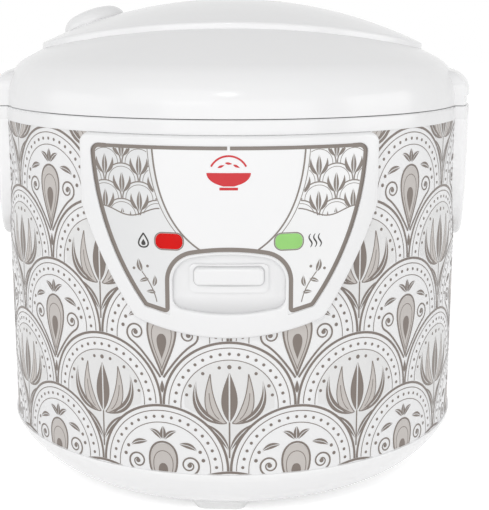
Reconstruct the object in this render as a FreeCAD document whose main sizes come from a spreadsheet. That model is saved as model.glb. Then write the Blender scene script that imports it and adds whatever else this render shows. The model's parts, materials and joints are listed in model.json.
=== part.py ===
"""Electric rice cooker with a hinged lid, as a parametric document with one object for each piece.

Millimetres. The origin lies on the cooker's axis at the level of its feet, +Z is up and -Y is the front.
"""
import FreeCAD, Part
import math
import os
import re
import Sketcher

SIZES = {
    # body shell, a rolled steel tube
    "shell_radius": 130.0,
    "shell_wall": 0.8,
    "shell_bottom": 32.0,
    "shell_height": 171.0,
    "skin_gap": 0.05,
    "fit_gap": 0.3,
    # base cover, a moulded bowl
    "base_lip": 1.0,
    "base_lip_height": 1.5,
    "base_bottom": 3.0,
    "base_turn_width": 37.0,
    "base_turn_radius": 50.0,
    "base_wall": 2.5,
    "spigot_height": 8.0,
    "spigot_wall": 2.2,
    "vent_count": 16,
    "vent_ring_radius": 58.0,
    "vent_half_length": 14.0,
    "vent_half_width": 1.6,
    "slot_end_flat": 0.03,
    "post_inset": 12.8,
    "post_radius": 5.0,
    # feet
    "foot_shift": 1.0,
    "foot_half_width": 13.0,
    "foot_turn_angle": 3.2,
    "foot_half_depth": 6.5,
    "foot_corner_radius": 5.0,
    "foot_flare_angle": 38.0,
    "foot_sink": 4.0,
    # collar ring
    "collar_height": 7.0,
    "collar_lip": 0.6,
    "collar_edge_radius": 1.0,
    "collar_sink": 3.0,
    "land_width": 10.5,
    "land_draft": 1.0,
    "ledge_rise": 1.2,
    "ledge_width": 7.0,
    # ears and side grips
    "ear_reach": 5.8,
    "ear_half_width": 45.0,
    "ear_corner_radius": 9.0,
    "ear_crest_rise": 8.0,
    "ear_cap_height": 11.0,
    "ear_cap_depth": 11.0,
    "ear_cap_radius": 12.0,
    "ear_undercut_depth": 1.2,
    "ear_undercut_height": 4.5,
    "grip_length": 70.0,
    "grip_tip_half_width": 6.0,
    "grip_tip_depth": 3.0,
    "grip_edge_radius": 2.2,
    # lid cover and its oval top plate
    "lid_gap": 0.4,
    "lid_inset": 0.4,
    "lid_wall": 2.5,
    "lid_height": 54.6,
    "shoulder_radius": 24.0,
    "shoulder_lift": 4.0,
    "crown_side_margin": 20.6,
    "crown_front_margin": 50.2,
    "crown_step": 2.9,
    "crown_edge_radius": 1.5,
    # lid hinge
    "hinge_tuck": 0.6,
    "hinge_rise": 4.5,
    "barrel_radius": 5.5,
    "barrel_half_length": 20.0,
    "spring_bay_half_width": 8.0,
    "lug_width": 9.5,
    "pin_radius": 1.75,
    "pin_gap": 0.3,
    "hinge_wire": 0.9,
    "hinge_turns": 6,
    # underside of the lid
    "liner_wall": 2.2,
    "liner_lift": 1.0,
    "liner_slope_width": 8.0,
    "liner_slope_rise": 5.0,
    "liner_crown_height": 8.6,
    "seal_side_gap": 1.7,
    "seal_width": 8.3,
    "seal_stem_width": 3.5,
    "seal_lip": 1.2,
    "seal_gap": 0.4,
    "plate_sink": 2.4,
    "plate_crown_height": 4.5,
    "plate_sheet": 0.8,
    "plate_hole_count": 12,
    "plate_hole_ring_radius": 60.0,
    "plate_hole_radius": 3.0,
    "grommet_radius": 5.0,
    "grommet_flange_width": 4.0,
    "grommet_flange_height": 1.6,
    "lid_screw_inset": 10.1,
    "screw_shank_radius": 1.5,
    "screw_head_radius": 3.0,
    "screw_head_height": 0.9,
    "screw_length": 8.0,
    "boss_wall": 2.1,
    "hook_half_width": 6.0,
    "hook_setback": 3.5,
    "hook_sheet": 2.0,
    "hook_drop": 6.0,
    "hook_nose": 1.2,
    "hook_gap": 0.8,
    # steam cap and its tube
    "cap_margin": 27.0,
    "cap_back_offset": 22.0,
    "cap_radius": 18.3,
    "cap_height": 9.2,
    "cap_skirt_height": 2.0,
    "cap_shoulder_width": 6.8,
    "cap_shoulder_radius": 9.0,
    "cap_crown_rise": 1.5,
    "cap_wall": 1.8,
    "cap_slot_half_length": 6.0,
    "cap_slot_half_width": 1.0,
    "cap_slot_pitch": 4.5,
    "plug_radius": 12.0,
    "plug_depth": 12.0,
    "plug_wall": 1.5,
    "plug_drain_radius": 3.0,
    "plug_flange_height": 1.2,
    "tube_wall": 2.0,
    "tube_overhang": 4.6,
    # front panel
    "panel_depth": 5.0,
    "panel_gap": 0.2,
    "panel_half_width": 73.0,
    "panel_corner_radius": 5.0,
    "panel_side_height": 34.8,
    "panel_foot_width": 20.2,
    "panel_foot_drop": 1.0,
    "panel_edge_radius": 1.6,
    "chin_side_angle": 57.0,
    "chin_corner_radius": 6.8,
    "chin_radius": 129.3,
    # panel inlay
    "inlay_depth": 1.0,
    "inlay_sheet": 0.8,
    "frame_top_width": 4.3,
    "frame_side_width": 5.6,
    "frame_foot_width": 6.2,
    "inlay_corner_radius": 4.5,
    "inlay_side_radius": 140.0,
    "inlay_tail_width": 12.0,
    "inlay_tail_height": 3.2,
    "inlay_tail_drop": 0.7,
    # lever recess, an arch with a bowed sill
    "recess_side_width": 10.5,
    "recess_below": 14.8,
    "recess_above": 5.9,
    "arch_corner_radius": 12.0,
    "arch_crown_radius": 96.0,
    "arch_foot_radius": 5.0,
    "arch_sill_radius": 120.0,
    "recess_edge_radius": 1.0,
    "lip_width": 1.4,
    "housing_depth": 1.8,
    # lenses and lamps
    "lens_offset": 28.8,
    "lens_rise": 16.4,
    "lens_half_width": 6.6,
    "lens_half_height": 3.8,
    "lens_flat": 0.5,
    "lens_proud": 0.5,
    "lens_edge_radius": 0.4,
    "lamp_radius": 2.5,
    "lamp_window_gap": 2.5,
    "board_margin": 4.7,
    "board_corner_radius": 2.8,
    "board_sheet": 1.6,
    "board_gap": 3.7,
    # cook lever and its strip
    "lever_drop": 67.0,
    "lever_half_width": 16.8,
    "lever_half_height": 4.3,
    "lever_corner_radius": 2.6,
    "lever_proud": 1.6,
    "lever_edge_radius": 1.4,
    "lever_gap": 0.5,
    "lever_travel": 3.6,
    "neck_half_width": 8.0,
    "neck_half_height": 2.2,
    "neck_drop": 1.5,
    "skirt_side": 2.3,
    "skirt_rise": 1.2,
    "skirt_fall": 4.2,
    "skirt_sheet": 1.2,
    "skirt_corner_radius": 2.6,
    "strip_gap": 0.7,
    "strip_half_width": 6.0,
    "strip_sheet": 1.5,
    "strip_drop": 20.0,
    "lever_spring_inset": 14.0,
    "lever_spring_length": 18.0,
    "lever_spring_radius": 4.0,
    "lever_spring_wire": 1.0,
    "lever_spring_turns": 5,
    # rocker under the heating plate
    "rocker_inner_arm": 32.0,
    "rocker_outer_arm": 28.0,
    "rocker_overlap": 4.0,
    "rocker_half_width": 5.0,
    "rocker_bar": 3.0,
    "rocker_hub_wall": 2.2,
    "rocker_pin_radius": 2.0,
    "rocker_gap": 0.3,
    "cheek_sheet": 1.5,
    "cheek_gap": 1.0,
    "bracket_half_length": 10.0,
    "switch_width": 6.4,
    "switch_length": 19.8,
    "switch_height": 10.2,
    "switch_corner_radius": 1.5,
    # inner case, heating plate and heaters
    "jacket_gap": 16.2,
    "case_wall": 0.8,
    "case_rise": 30.0,
    "case_corner_radius": 9.0,
    "case_hole_gap": 2.0,
    "case_flange_width": 6.2,
    "leg_height": 7.2,
    "leg_radius": 5.0,
    "leg_inset": 10.0,
    "leg_count": 3,
    "hot_plate_height": 12.0,
    "hot_plate_edge_radius": 4.0,
    "hot_plate_overhang": 5.0,
    "heater_inset": 28.0,
    "heater_radius": 5.0,
    "heater_sweep_angle": 320.0,
    "terminal_inset_angle": 1.0,
    "terminal_radius": 2.2,
    "terminal_drop": 13.0,
    "terminal_gap": 1.0,
    "band_drop": 38.0,
    "band_height": 25.0,
    "band_wall": 1.2,
    "fuse_radius": 2.2,
    "fuse_length": 14.0,
    # thermostat
    "sensor_radius": 16.5,
    "sensor_wall": 1.0,
    "sensor_drop": 0.3,
    "sensor_room": 3.2,
    "sensor_gap": 0.8,
    "sensor_spring_gap": 1.15,
    "sensor_wire": 1.1,
    "sensor_turns": 5,
    "ferrite_gap": 1.25,
    "ferrite_height": 2.5,
    "holder_gap": 0.7,
    "holder_wall": 1.0,
    "holder_drop": 6.0,
    "rod_radius": 3.5,
    "rod_gap": 0.9,
    "magnet_inset": 1.0,
    "magnet_height": 5.0,
    "magnet_gap": 6.0,
    # inner pot
    "pot_gap": 2.5,
    "pot_wall": 2.0,
    "pot_corner_radius": 26.0,
    "pot_lift": 0.5,
    "pot_rim_gap": 1.1,
    "pot_flange_sheet": 1.6,
    # power inlet
    "inlet_clearance": 1.5,
    "inlet_half_width": 14.5,
    "inlet_half_height": 10.0,
    "inlet_corner_radius": 4.0,
    "inlet_wall": 2.0,
    "inlet_back_gap": 1.0,
    "inlet_back_wall": 2.5,
    "inlet_flange_lip": 3.0,
    "inlet_flange_depth": 2.5,
    "contact_radius": 2.0,
    "contact_pitch": 7.0,
    "contact_rise": 4.0,
    "contact_length": 12.0,
}

DERIVED = {
    # heights of the body, from the floor up
    "shell_top": "shell_bottom + shell_height",
    "seam_height": "shell_top + collar_height",
    "collar_underside": "shell_top - collar_sink",
    "ledge_height": "shell_top + ledge_rise",
    "pot_rim": "ledge_height + pot_lift + pot_flange_sheet",
    "case_floor": "shell_bottom + case_rise",
    "case_face": "case_floor + case_wall",
    "hot_plate_bottom": "case_face + leg_height",
    "hot_plate_top": "hot_plate_bottom + hot_plate_height",
    "base_turn_height": "shell_bottom - base_lip_height",
    "foot_height": "base_bottom + foot_sink",
    "inlet_height": "shell_bottom + spigot_height + inlet_clearance + inlet_half_height",
    # radii of the body, from the shell inwards
    "spigot_outer": "shell_radius - shell_wall - fit_gap",
    "spigot_inner": "spigot_outer - spigot_wall",
    "base_rim_radius": "shell_radius + base_lip",
    "base_flat_radius": "base_rim_radius - base_turn_width",
    "foot_ring_radius": "base_flat_radius + foot_shift",
    "collar_radius": "shell_radius + collar_lip",
    "land_radius": "shell_radius - land_width",
    "ledge_radius": "land_radius - land_draft",
    "mouth_radius": "ledge_radius - ledge_width",
    "pot_radius": "mouth_radius - pot_gap",
    "pot_flange_radius": "ledge_radius - pot_rim_gap",
    "case_radius": "shell_radius - jacket_gap",
    "case_flange_radius": "case_radius + case_flange_width",
    "post_ring_radius": "case_radius - case_corner_radius - post_inset",
    "hot_plate_radius": "pot_radius - pot_corner_radius + hot_plate_overhang",
    "heater_ring_radius": "hot_plate_radius - heater_inset",
    "leg_ring_radius": "hot_plate_radius - leg_inset",
    "fuse_ring_radius": "(holder_radius + heater_ring_radius - heater_radius) / 2",
    # thermostat, from its cap inwards and down
    "hot_plate_bore": "sensor_radius + sensor_gap",
    "holder_radius": "hot_plate_bore + holder_gap + holder_wall",
    "case_hole_radius": "holder_radius + case_hole_gap",
    "sensor_spring_radius": "sensor_radius - sensor_wall - sensor_spring_gap - sensor_wire / 2",
    "ferrite_radius": "sensor_spring_radius - sensor_wire / 2 - ferrite_gap",
    "magnet_radius": "ferrite_radius - magnet_inset",
    "rod_hole_radius": "rod_radius + rod_gap",
    "sensor_top": "hot_plate_top - sensor_drop",
    "sensor_ceiling": "sensor_top - sensor_wall",
    "holder_bottom": "case_floor - holder_drop",
    "holder_floor": "holder_bottom + holder_wall",
    "magnet_bottom": "sensor_ceiling - ferrite_height - magnet_gap - magnet_height",
    # ears and grips
    "ear_radius": "shell_radius + ear_reach",
    "ear_crest": "seam_height + ear_crest_rise",
    "ear_top": "ear_crest + ear_cap_height",
    "grip_foot_radius": "shell_radius + skin_gap",
    "grip_tip": "shell_top - grip_length",
    "grip_bow_radius": "ear_half_width - grip_tip_half_width",
    "grip_shoulder": "grip_tip + grip_bow_radius",
    "grip_swell": "ear_radius - grip_foot_radius - grip_tip_depth",
    "grip_swell_radius": "(grip_bow_radius^2 + grip_swell^2) / (2 * grip_swell)",
    # lid: a dome that is tangent to the shoulder round
    "lid_rim": "seam_height + lid_gap",
    "lid_apex": "lid_rim + lid_height",
    "lid_radius": "shell_radius - lid_inset",
    "shoulder_offset": "lid_radius - shoulder_radius",
    "shoulder_height": "lid_rim + shoulder_lift",
    "shoulder_drop": "lid_apex - shoulder_height",
    "dome_drop": "shoulder_drop - shoulder_radius",
    "dome_radius": "(shoulder_offset^2 + shoulder_drop^2 - shoulder_radius^2) / (2 * dome_drop)",
    "dome_centre": "lid_apex - dome_radius",
    "crown_radius": "dome_radius + crown_step",
    "crown_half_width": "lid_radius - crown_side_margin",
    "crown_half_depth": "lid_radius - crown_front_margin",
    "lid_screw_ring_radius": "lid_radius - lid_screw_inset",
    "liner_radius": "lid_radius - lid_wall - fit_gap",
    "liner_rim": "lid_rim + liner_lift",
    "liner_top": "liner_rim + liner_wall",
    "liner_apex": "liner_rim + liner_crown_height",
    "seal_outer": "ledge_radius - seal_side_gap",
    "seal_inner": "seal_outer - seal_width",
    "seal_bottom": "pot_rim + seal_gap",
    "seal_crest": "liner_rim + liner_slope_rise * seal_stem_width / liner_slope_width - fit_gap",
    "liner_step_radius": "seal_inner + seal_stem_width",
    "liner_dish_radius": "liner_step_radius - liner_slope_width",
    "plate_rim": "lid_rim - plate_sink",
    "plate_apex": "plate_rim + plate_crown_height",
    "plate_radius": "seal_inner - skin_gap",
    "hook_offset": "land_radius + hook_setback",
    "hook_bottom": "seam_height - hook_drop",
    "hinge_offset": "lid_radius + barrel_radius - hinge_tuck",
    "hinge_height": "seam_height + hinge_rise",
    "lug_inner": "barrel_half_length + fit_gap",
    "pin_length": "2 * (lug_inner + lug_width)",
    # steam cap, square to the dome
    "cap_offset": "crown_half_width - cap_margin",
    "cap_crown_half_width": "cap_radius - cap_shoulder_width",
    "cap_crown_radius": "(cap_crown_half_width^2 + cap_crown_rise^2) / (2 * cap_crown_rise)",
    "cap_level": "sqrt(crown_radius^2 - cap_offset^2 - cap_back_offset^2)",
    "tube_inner": "plug_radius + fit_gap",
    "tube_outer": "tube_inner + tube_wall",
    "tube_length": "(dome_centre + cap_level - liner_apex) * crown_radius / cap_level + tube_overhang",
    # front panel, from the lever slot outwards
    "panel_back": "shell_radius + skin_gap",
    "panel_face": "shell_radius + panel_depth",
    "panel_top": "shell_top - panel_gap",
    "lever_height": "panel_top - lever_drop",
    "lever_front": "panel_face + lever_proud",
    "lever_back": "spigot_inner - strip_gap",
    "neck_height": "lever_height - neck_drop",
    "slot_half_width": "neck_half_width + lever_gap",
    "slot_top": "neck_height + neck_half_height + lever_gap",
    "slot_bottom": "neck_height - neck_half_height - lever_travel - lever_gap",
    "skirt_half_width": "lever_half_width + skirt_side",
    "skirt_half_height": "lever_half_height + (skirt_rise + skirt_fall) / 2",
    "skirt_middle": "lever_height + (skirt_rise - skirt_fall) / 2",
    "arch_half_width": "lever_half_width + recess_side_width",
    "arch_top": "lever_height + lever_half_height + recess_above",
    "arch_low": "lever_height - lever_half_height - recess_below",
    "arch_head": "arch_crown_radius - arch_corner_radius",
    "arch_head_rise": "sqrt(arch_head^2 - (arch_half_width - arch_corner_radius)^2)",
    "arch_spring": "arch_top - arch_crown_radius + arch_head_rise",
    "arch_sill": "arch_sill_radius - arch_foot_radius",
    "arch_sill_rise": "sqrt(arch_sill^2 - (arch_half_width - arch_foot_radius)^2)",
    "arch_foot": "arch_low + arch_sill_radius - arch_sill_rise",
    "inlay_bottom": "arch_low - inlay_tail_drop",
    "inlay_foot": "inlay_bottom + inlay_tail_height",
    "inlay_top": "panel_top - frame_top_width",
    "inlay_half_width": "panel_half_width - frame_side_width",
    "panel_foot_half_width": "arch_half_width + panel_foot_width",
    "inlay_foot_half_width": "panel_foot_half_width - frame_foot_width",
    "inlay_tail_half_width": "inlay_foot_half_width - inlay_tail_width",
    "inlay_seat": "panel_face - inlay_depth - inlay_sheet",
    "inlay_face": "panel_face - inlay_depth",
    "panel_waist": "panel_top - panel_side_height",
    "panel_foot": "inlay_bottom - panel_foot_drop",
    "panel_side_width": "panel_half_width - panel_foot_half_width",
    "panel_side_rise": "panel_waist - panel_foot",
    "chin_side_slope": "sin(chin_side_angle * 1 deg)",
    "chin_side_level": "cos(chin_side_angle * 1 deg)",
    "panel_side_bow": "panel_side_rise * chin_side_level - panel_side_width * chin_side_slope",
    "panel_side_radius": "(panel_side_width^2 + panel_side_rise^2) / (2 * panel_side_bow)",
    "chin_corner_across": "panel_foot_half_width - chin_corner_radius * chin_side_slope",
    "chin_corner_up": "panel_foot + chin_corner_radius * chin_side_level",
    "chin_span": "chin_radius - chin_corner_radius",
    "chin_span_rise": "sqrt(chin_span^2 - chin_corner_across^2)",
    "chin_half_width": "chin_corner_across * chin_radius / chin_span",
    "chin_shoulder": "chin_corner_up - chin_span_rise * chin_corner_radius / chin_span",
    "housing_face": "panel_back + housing_depth",
    "skirt_back": "housing_face + fit_gap",
    "skirt_face": "skirt_back + skirt_sheet",
    "lens_height": "lever_height + lens_rise",
    "lens_corner_radius": "lens_half_height - lens_flat",
    "board_back": "case_radius + board_gap",
    "board_front": "board_back + board_sheet",
    # lever strip and rocker
    "strip_foot": "case_floor - strip_drop",
    "lever_spring_offset": "lever_back - lever_spring_inset",
    "lever_spring_seat": "strip_foot - lever_spring_length",
    "strip_tip": "rocker_inner_arm + rocker_outer_arm",
    "rocker_top": "strip_foot - rocker_gap",
    "rocker_axis": "rocker_top - rocker_bar / 2",
    "rocker_bore_radius": "rocker_pin_radius + pin_gap",
    "rocker_hub_radius": "rocker_bore_radius + rocker_hub_wall",
    "cheek_inner": "rocker_half_width + cheek_gap",
    "cheek_outer": "cheek_inner + cheek_sheet",
    # power inlet
    "inlet_face": "shell_radius + skin_gap + inlet_flange_depth",
    "inlet_length": "inlet_face - case_radius - inlet_back_gap",
    "inlet_cavity": "inlet_length - inlet_back_wall",
}

doc = FreeCAD.newDocument("RiceCooker")
sheet = doc.addObject("Spreadsheet::Sheet", "Sizes")
cells = {**SIZES, **{name: f"={formula}" for name, formula in DERIVED.items()}}
for row, (cell_name, content) in enumerate(cells.items(), start=1):
    sheet.set(f"A{row}", cell_name)
    sheet.set(f"B{row}", str(content))
    sheet.setAlias(f"B{row}", cell_name)
doc.recompute()

PIECES = {}
FRONT = "XZ_Plane"
SIDE = "YZ_Plane"
PLAN = "XY_Plane"


def term(formula):
    """A size formula with each size written as its cell of the sheet."""
    return re.sub(
        r"[a-z_]+", lambda word: "Sizes." + word[0] if word[0] in cells else word[0], str(formula))


def value(formula):
    """The number that a size formula gives now."""
    return float(sheet.evalExpression(term(formula)))


def bind(thing, **formulas):
    """Tie properties of a document object to size formulas."""
    for name, formula in formulas.items():
        thing.setExpression(name, term(formula))
    return thing


def place(thing, across="0", back="0", up="0", rotation=None):
    """Put an object at formulas for x, y and z, turned by an optional rotation."""
    if rotation is not None:
        thing.Placement = FreeCAD.Placement(FreeCAD.Vector(), rotation)
    for axis, formula in zip("xyz", (across, back, up)):
        thing.setExpression(f"Placement.Base.{axis}", term(formula))
    return thing


def keep(label, thing):
    """Register an object as a finished piece under its own label."""
    thing.Label = label
    PIECES[label] = thing
    return thing


def pin_point(sketch, geometry, end, across, up):
    """Fix an end of a sketch line or arc at formulas for its two coordinates."""
    for kind, axis, formula in (("DistanceX", -2, across), ("DistanceY", -1, up)):
        number = value(formula)
        if abs(number) < 1e-9:
            sketch.addConstraint(Sketcher.Constraint("PointOnObject", geometry, end, axis))
            continue
        points = (-1, 1, geometry, end) if number > 0 else (geometry, end, -1, 1)
        index = sketch.addConstraint(Sketcher.Constraint(kind, *points, abs(number)))
        sketch.setExpression(f"Constraints[{index}]", f"abs({term(formula)})")


def arc_between(start, end, radius):
    """The short arc between two points, with its centre on the left for a positive radius."""
    chord = end - start
    left = FreeCAD.Vector(-chord.y, chord.x, 0) / chord.Length
    rise = math.sqrt(radius * radius - chord.Length ** 2 / 4)
    centre = (start + end) * 0.5 + left * math.copysign(rise, radius)
    ends = (start, end) if radius > 0 else (end, start)
    first, last = (math.atan2(point.y - centre.y, point.x - centre.x) for point in ends)
    if last < first:
        last += 2 * math.pi
    return Part.ArcOfCircle(Part.Circle(centre, FreeCAD.Vector(0, 0, 1), abs(radius)), first, last)


def outline(body, plane, points, offset="0"):
    """Closed sketch through (across, up) formulas; a third one gives the arc's radius to the next point."""
    sketch = body.newObject("Sketcher::SketchObject", body.Name + "Outline")
    support = next(part for part in body.Origin.OriginFeatures if part.Role == plane)
    sketch.AttachmentSupport = [(support, "")]
    sketch.MapMode = "FlatFace"
    sketch.setExpression("AttachmentOffset.Base.z", term(offset))
    corners = [FreeCAD.Vector(value(point[0]), value(point[1]), 0) for point in points]
    sides = []
    for point, start, end in zip(points, corners, corners[1:] + corners[:1]):
        radius = value(point[2]) if len(point) == 3 else 0
        curve = arc_between(start, end, radius) if radius else Part.LineSegment(start, end)
        geometry = sketch.addGeometry(curve)
        sides.append((geometry, 2, 1) if radius < 0 else (geometry, 1, 2))
        if radius:
            index = sketch.addConstraint(Sketcher.Constraint("Radius", geometry, abs(radius)))
            sketch.setExpression(f"Constraints[{index}]", f"abs({term(point[2])})")
    for point, side, following in zip(points, sides, sides[1:] + sides[:1]):
        sketch.addConstraint(Sketcher.Constraint(
            "Coincident", side[0], side[2], following[0], following[1]))
        pin_point(sketch, side[0], side[1], point[0], point[1])
    return sketch


def turned(label, points):
    """A body of revolution about Z from a half section of (radius, height) formulas."""
    body = doc.addObject("PartDesign::Body", label)
    sketch = outline(body, FRONT, points)
    turn = body.newObject("PartDesign::Revolution", label + "Turn")
    turn.Profile = sketch
    turn.ReferenceAxis = (sketch, ["V_Axis"])
    turn.Angle = 360
    return body


def ring(label, inner, outer, bottom, top):
    """A plain tube or disc between two radii and two heights."""
    return turned(label, [(inner, bottom), (outer, bottom), (outer, top), (inner, top)])


def slab(label, plane, points, start, length, taper="0"):
    """A body padded from an outline: towards -Y from FRONT, +X from SIDE and +Z from PLAN."""
    body = doc.addObject("PartDesign::Body", label)
    sketch = outline(body, plane, points, start)
    pad = body.newObject("PartDesign::Pad", label + "Pad")
    pad.Profile = sketch
    return bind(pad, Length=length, TaperAngle=taper) and body


def box_points(left, low, right, high):
    """Corners of a rectangle, anticlockwise."""
    return [(left, low), (right, low), (right, high), (left, high)]


def soft_box(across, up, half_width, half_height, corner):
    """A rectangle with four rounded corners about a centre."""
    corner = f"({corner})"
    left, right = f"({across}) - ({half_width})", f"({across}) + ({half_width})"
    low, high = f"({up}) - ({half_height})", f"({up}) + ({half_height})"
    return [
        (f"{left} + {corner}", low), (f"{right} - {corner}", low, corner),
        (right, f"{low} + {corner}"), (right, f"{high} - {corner}", corner),
        (f"{right} - {corner}", high), (f"{left} + {corner}", high, corner),
        (left, f"{high} - {corner}"), (left, f"{low} + {corner}", corner),
    ]


def rod(label, radius, length, across="0", back="0", up="0", along="Z"):
    """A cylinder from a point along an axis: X, Y, Z or -Y."""
    turns = {
        "X": FreeCAD.Rotation(FreeCAD.Vector(0, 1, 0), 90),
        "Y": FreeCAD.Rotation(FreeCAD.Vector(1, 0, 0), -90),
        "-Y": FreeCAD.Rotation(FreeCAD.Vector(1, 0, 0), 90),
        "Z": FreeCAD.Rotation(),
    }
    cylinder = bind(doc.addObject("Part::Cylinder", label), Radius=radius, Height=length)
    return place(cylinder, across, back, up, turns[along])


def fused(label, *things):
    """Several objects as one solid."""
    union = doc.addObject("Part::MultiFuse", label)
    union.Shapes = list(things)
    union.Refine = True
    return union


def shared(label, *things):
    """What several objects have in common."""
    common = doc.addObject("Part::MultiCommon", label)
    common.Shapes = list(things)
    return common


def cut(label, base, *tools):
    """An object with other objects taken away from it."""
    difference = doc.addObject("Part::Cut", label)
    difference.Base = base
    difference.Tool = tools[0] if len(tools) == 1 else fused(label + "Tools", *tools)
    return difference


def group(label, things):
    """Separate solids that share one node."""
    compound = doc.addObject("Part::Compound", label)
    compound.Links = list(things)
    return compound


def softened(label, base, radius, chosen):
    """Round the edges of an object that a test picks out."""
    doc.recompute()
    fillet = doc.addObject("Part::Fillet", label)
    fillet.Base = base
    size = value(radius)
    edges = [index for index, edge in enumerate(base.Shape.Edges, start=1) if chosen(edge)]
    fillet.Edges = [(index, size, size) for index in edges]
    return fillet


def around(count, label, make, start=0.0):
    """Equally spaced copies about the axis: make(label, angle in degrees) builds each one."""
    return [make(f"{label}{index}", start + 360.0 * index / count) for index in range(count)]


def polar(radius, angle):
    """Formulas for x and y at a radius and a fixed angle."""
    return f"({radius}) * cos({angle} deg)", f"({radius}) * sin({angle} deg)"


def radius_of(point):
    """Distance of a point from the cooker's axis."""
    return math.hypot(point.x, point.y)


def coil(coil_radius, wire, turns, height, label):
    """A wire wound about Z: quarter turns of a helix as pairs of tangent arcs, swept by a circle."""
    radius, steps = value(coil_radius), int(value(turns)) * 4
    pitch = value(height) / steps
    rise = pitch / (math.pi / 2)
    path = []
    for step in range(steps):
        ends = []
        for index in (step, step + 1):
            turn = index * math.pi / 2
            point = FreeCAD.Vector(radius * math.cos(turn), radius * math.sin(turn), pitch * index)
            tangent = FreeCAD.Vector(-radius * math.sin(turn), radius * math.cos(turn), rise)
            ends.append((point, tangent.normalize()))
        path += tangent_arcs(*ends[0], *ends[1])
    wire_path = Part.Wire([arc.toShape() for arc in path])
    start, heading = FreeCAD.Vector(radius, 0, 0), FreeCAD.Vector(0, radius, rise)
    section = Part.Wire([Part.Circle(start, heading, value(wire) / 2).toShape()])
    thing = doc.addObject("Part::Feature", label)
    thing.Shape = wire_path.makePipeShell([section], True, False)
    points = wire_path.discretize(steps * 8 + 1)
    half_turn = 16
    spans = [
        (last - first).Length for index, first in enumerate(points) for last in points[index + half_turn:]]
    print(f"{label}: least gap between turns {min(spans) - value(wire):.2f} mm, on {len(points)} points")
    return thing


def tangent_arcs(start, start_way, end, end_way):
    """Two arcs that leave one point and reach another in given directions."""
    chord = end - start
    ways = start_way + end_way
    bend = 2 * (1 - start_way.dot(end_way))
    slope = chord.dot(ways)
    reach = (math.sqrt(slope * slope + bend * chord.dot(chord)) - slope) / bend
    corners = (start + start_way * reach, end - end_way * reach)
    middle = (corners[0] + corners[1]) * 0.5
    arcs = []
    for first, corner, last in ((start, corners[0], middle), (middle, corners[1], end)):
        base = (first + last) * 0.5
        half = (last - first).Length / 2
        sag = half * math.tan(math.acos(min(1.0, half / reach)) / 2)
        arcs.append(Part.Arc(first, base + (corner - base).normalize() * sag, last))
    return arcs


# Base cover: a moulded bowl with a spigot inside the shell, vent slots, and posts for the inner case
base_outer_points = [
    ("base_flat_radius", "base_bottom", "base_turn_radius"),
    ("base_rim_radius", "base_turn_height"),
]
base_bowl = turned("base_bowl", [("0", "base_bottom")] + base_outer_points + [
    ("base_rim_radius", "shell_bottom"),
    ("spigot_outer", "shell_bottom"),
    ("spigot_outer", "shell_bottom + spigot_height"),
    ("spigot_inner", "shell_bottom + spigot_height"),
    ("spigot_inner", "base_turn_height", "-(base_turn_radius - base_wall)"),
    ("base_flat_radius", "base_bottom + base_wall"),
    ("0", "base_bottom + base_wall"),
])
vent_sketch = outline(base_bowl, PLAN, soft_box(
    "vent_ring_radius", "0", "vent_half_length", "vent_half_width", "vent_half_width - slot_end_flat"))
vent = base_bowl.newObject("PartDesign::Pocket", "Vent")
vent.Profile = vent_sketch
vent.Reversed = True
bind(vent, Length="base_bottom + 2 * base_wall")
vents = base_bowl.newObject("PartDesign::PolarPattern", "Vents")
vents.Originals = [vent]
vents.Axis = (next(part for part in base_bowl.Origin.OriginFeatures if part.Role == "Z_Axis"), [""])
vents.Angle = 360
bind(vents, Occurrences="vent_count")
base_bowl.Tip = vents

POST_ANGLES = (45, 135, 225, 315)
post_foot = "base_bottom + base_wall / 2"
posts = []
post_holes = []
for angle in POST_ANGLES:
    x, y = polar("post_ring_radius", angle)
    posts.append(rod(f"post{angle}", "post_radius", f"case_floor - ({post_foot})", x, y, post_foot))
    post_holes.append(rod(f"post_hole{angle}", "screw_shank_radius + skin_gap", "screw_length + fit_gap",
                          x, y, "case_floor - screw_length - fit_gap"))
spring_post = rod("spring_post", "lever_spring_radius + lever_spring_wire",
                  f"lever_spring_seat - ({post_foot})", "0", "-lever_spring_offset", post_foot)
base_outer_form = turned(
    "base_outer_form", [("0", "base_bottom")] + base_outer_points + [("0", "base_turn_height")])
post_room = ring("post_room", "0", "spigot_inner", "base_turn_height", "case_floor")
base_posts = shared("base_posts", fused("all_posts", *posts, spring_post),
                    fused("post_space", base_outer_form, post_room))
keep("base_cover", cut("base_cut", fused("base_whole", base_bowl, base_posts), *post_holes))

# Feet: rubber pads that flare upwards and follow the bowl
for name, angle in (("front", -90), ("right", 0), ("back", 90), ("left", 180)):
    pad = slab(f"foot_{name}_pad", PLAN,
               soft_box("0", "0", "foot_half_depth", "foot_half_width", "foot_corner_radius"),
               "0", "foot_height", "foot_flare_angle")
    foot_angle = angle - value("foot_turn_angle")
    foot_turn = FreeCAD.Rotation(FreeCAD.Vector(0, 0, 1), foot_angle)
    place(pad, *polar("foot_ring_radius", foot_angle), "0", foot_turn)
    keep(f"foot_{name}", cut(f"foot_{name}_cut", pad, base_outer_form))

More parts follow.
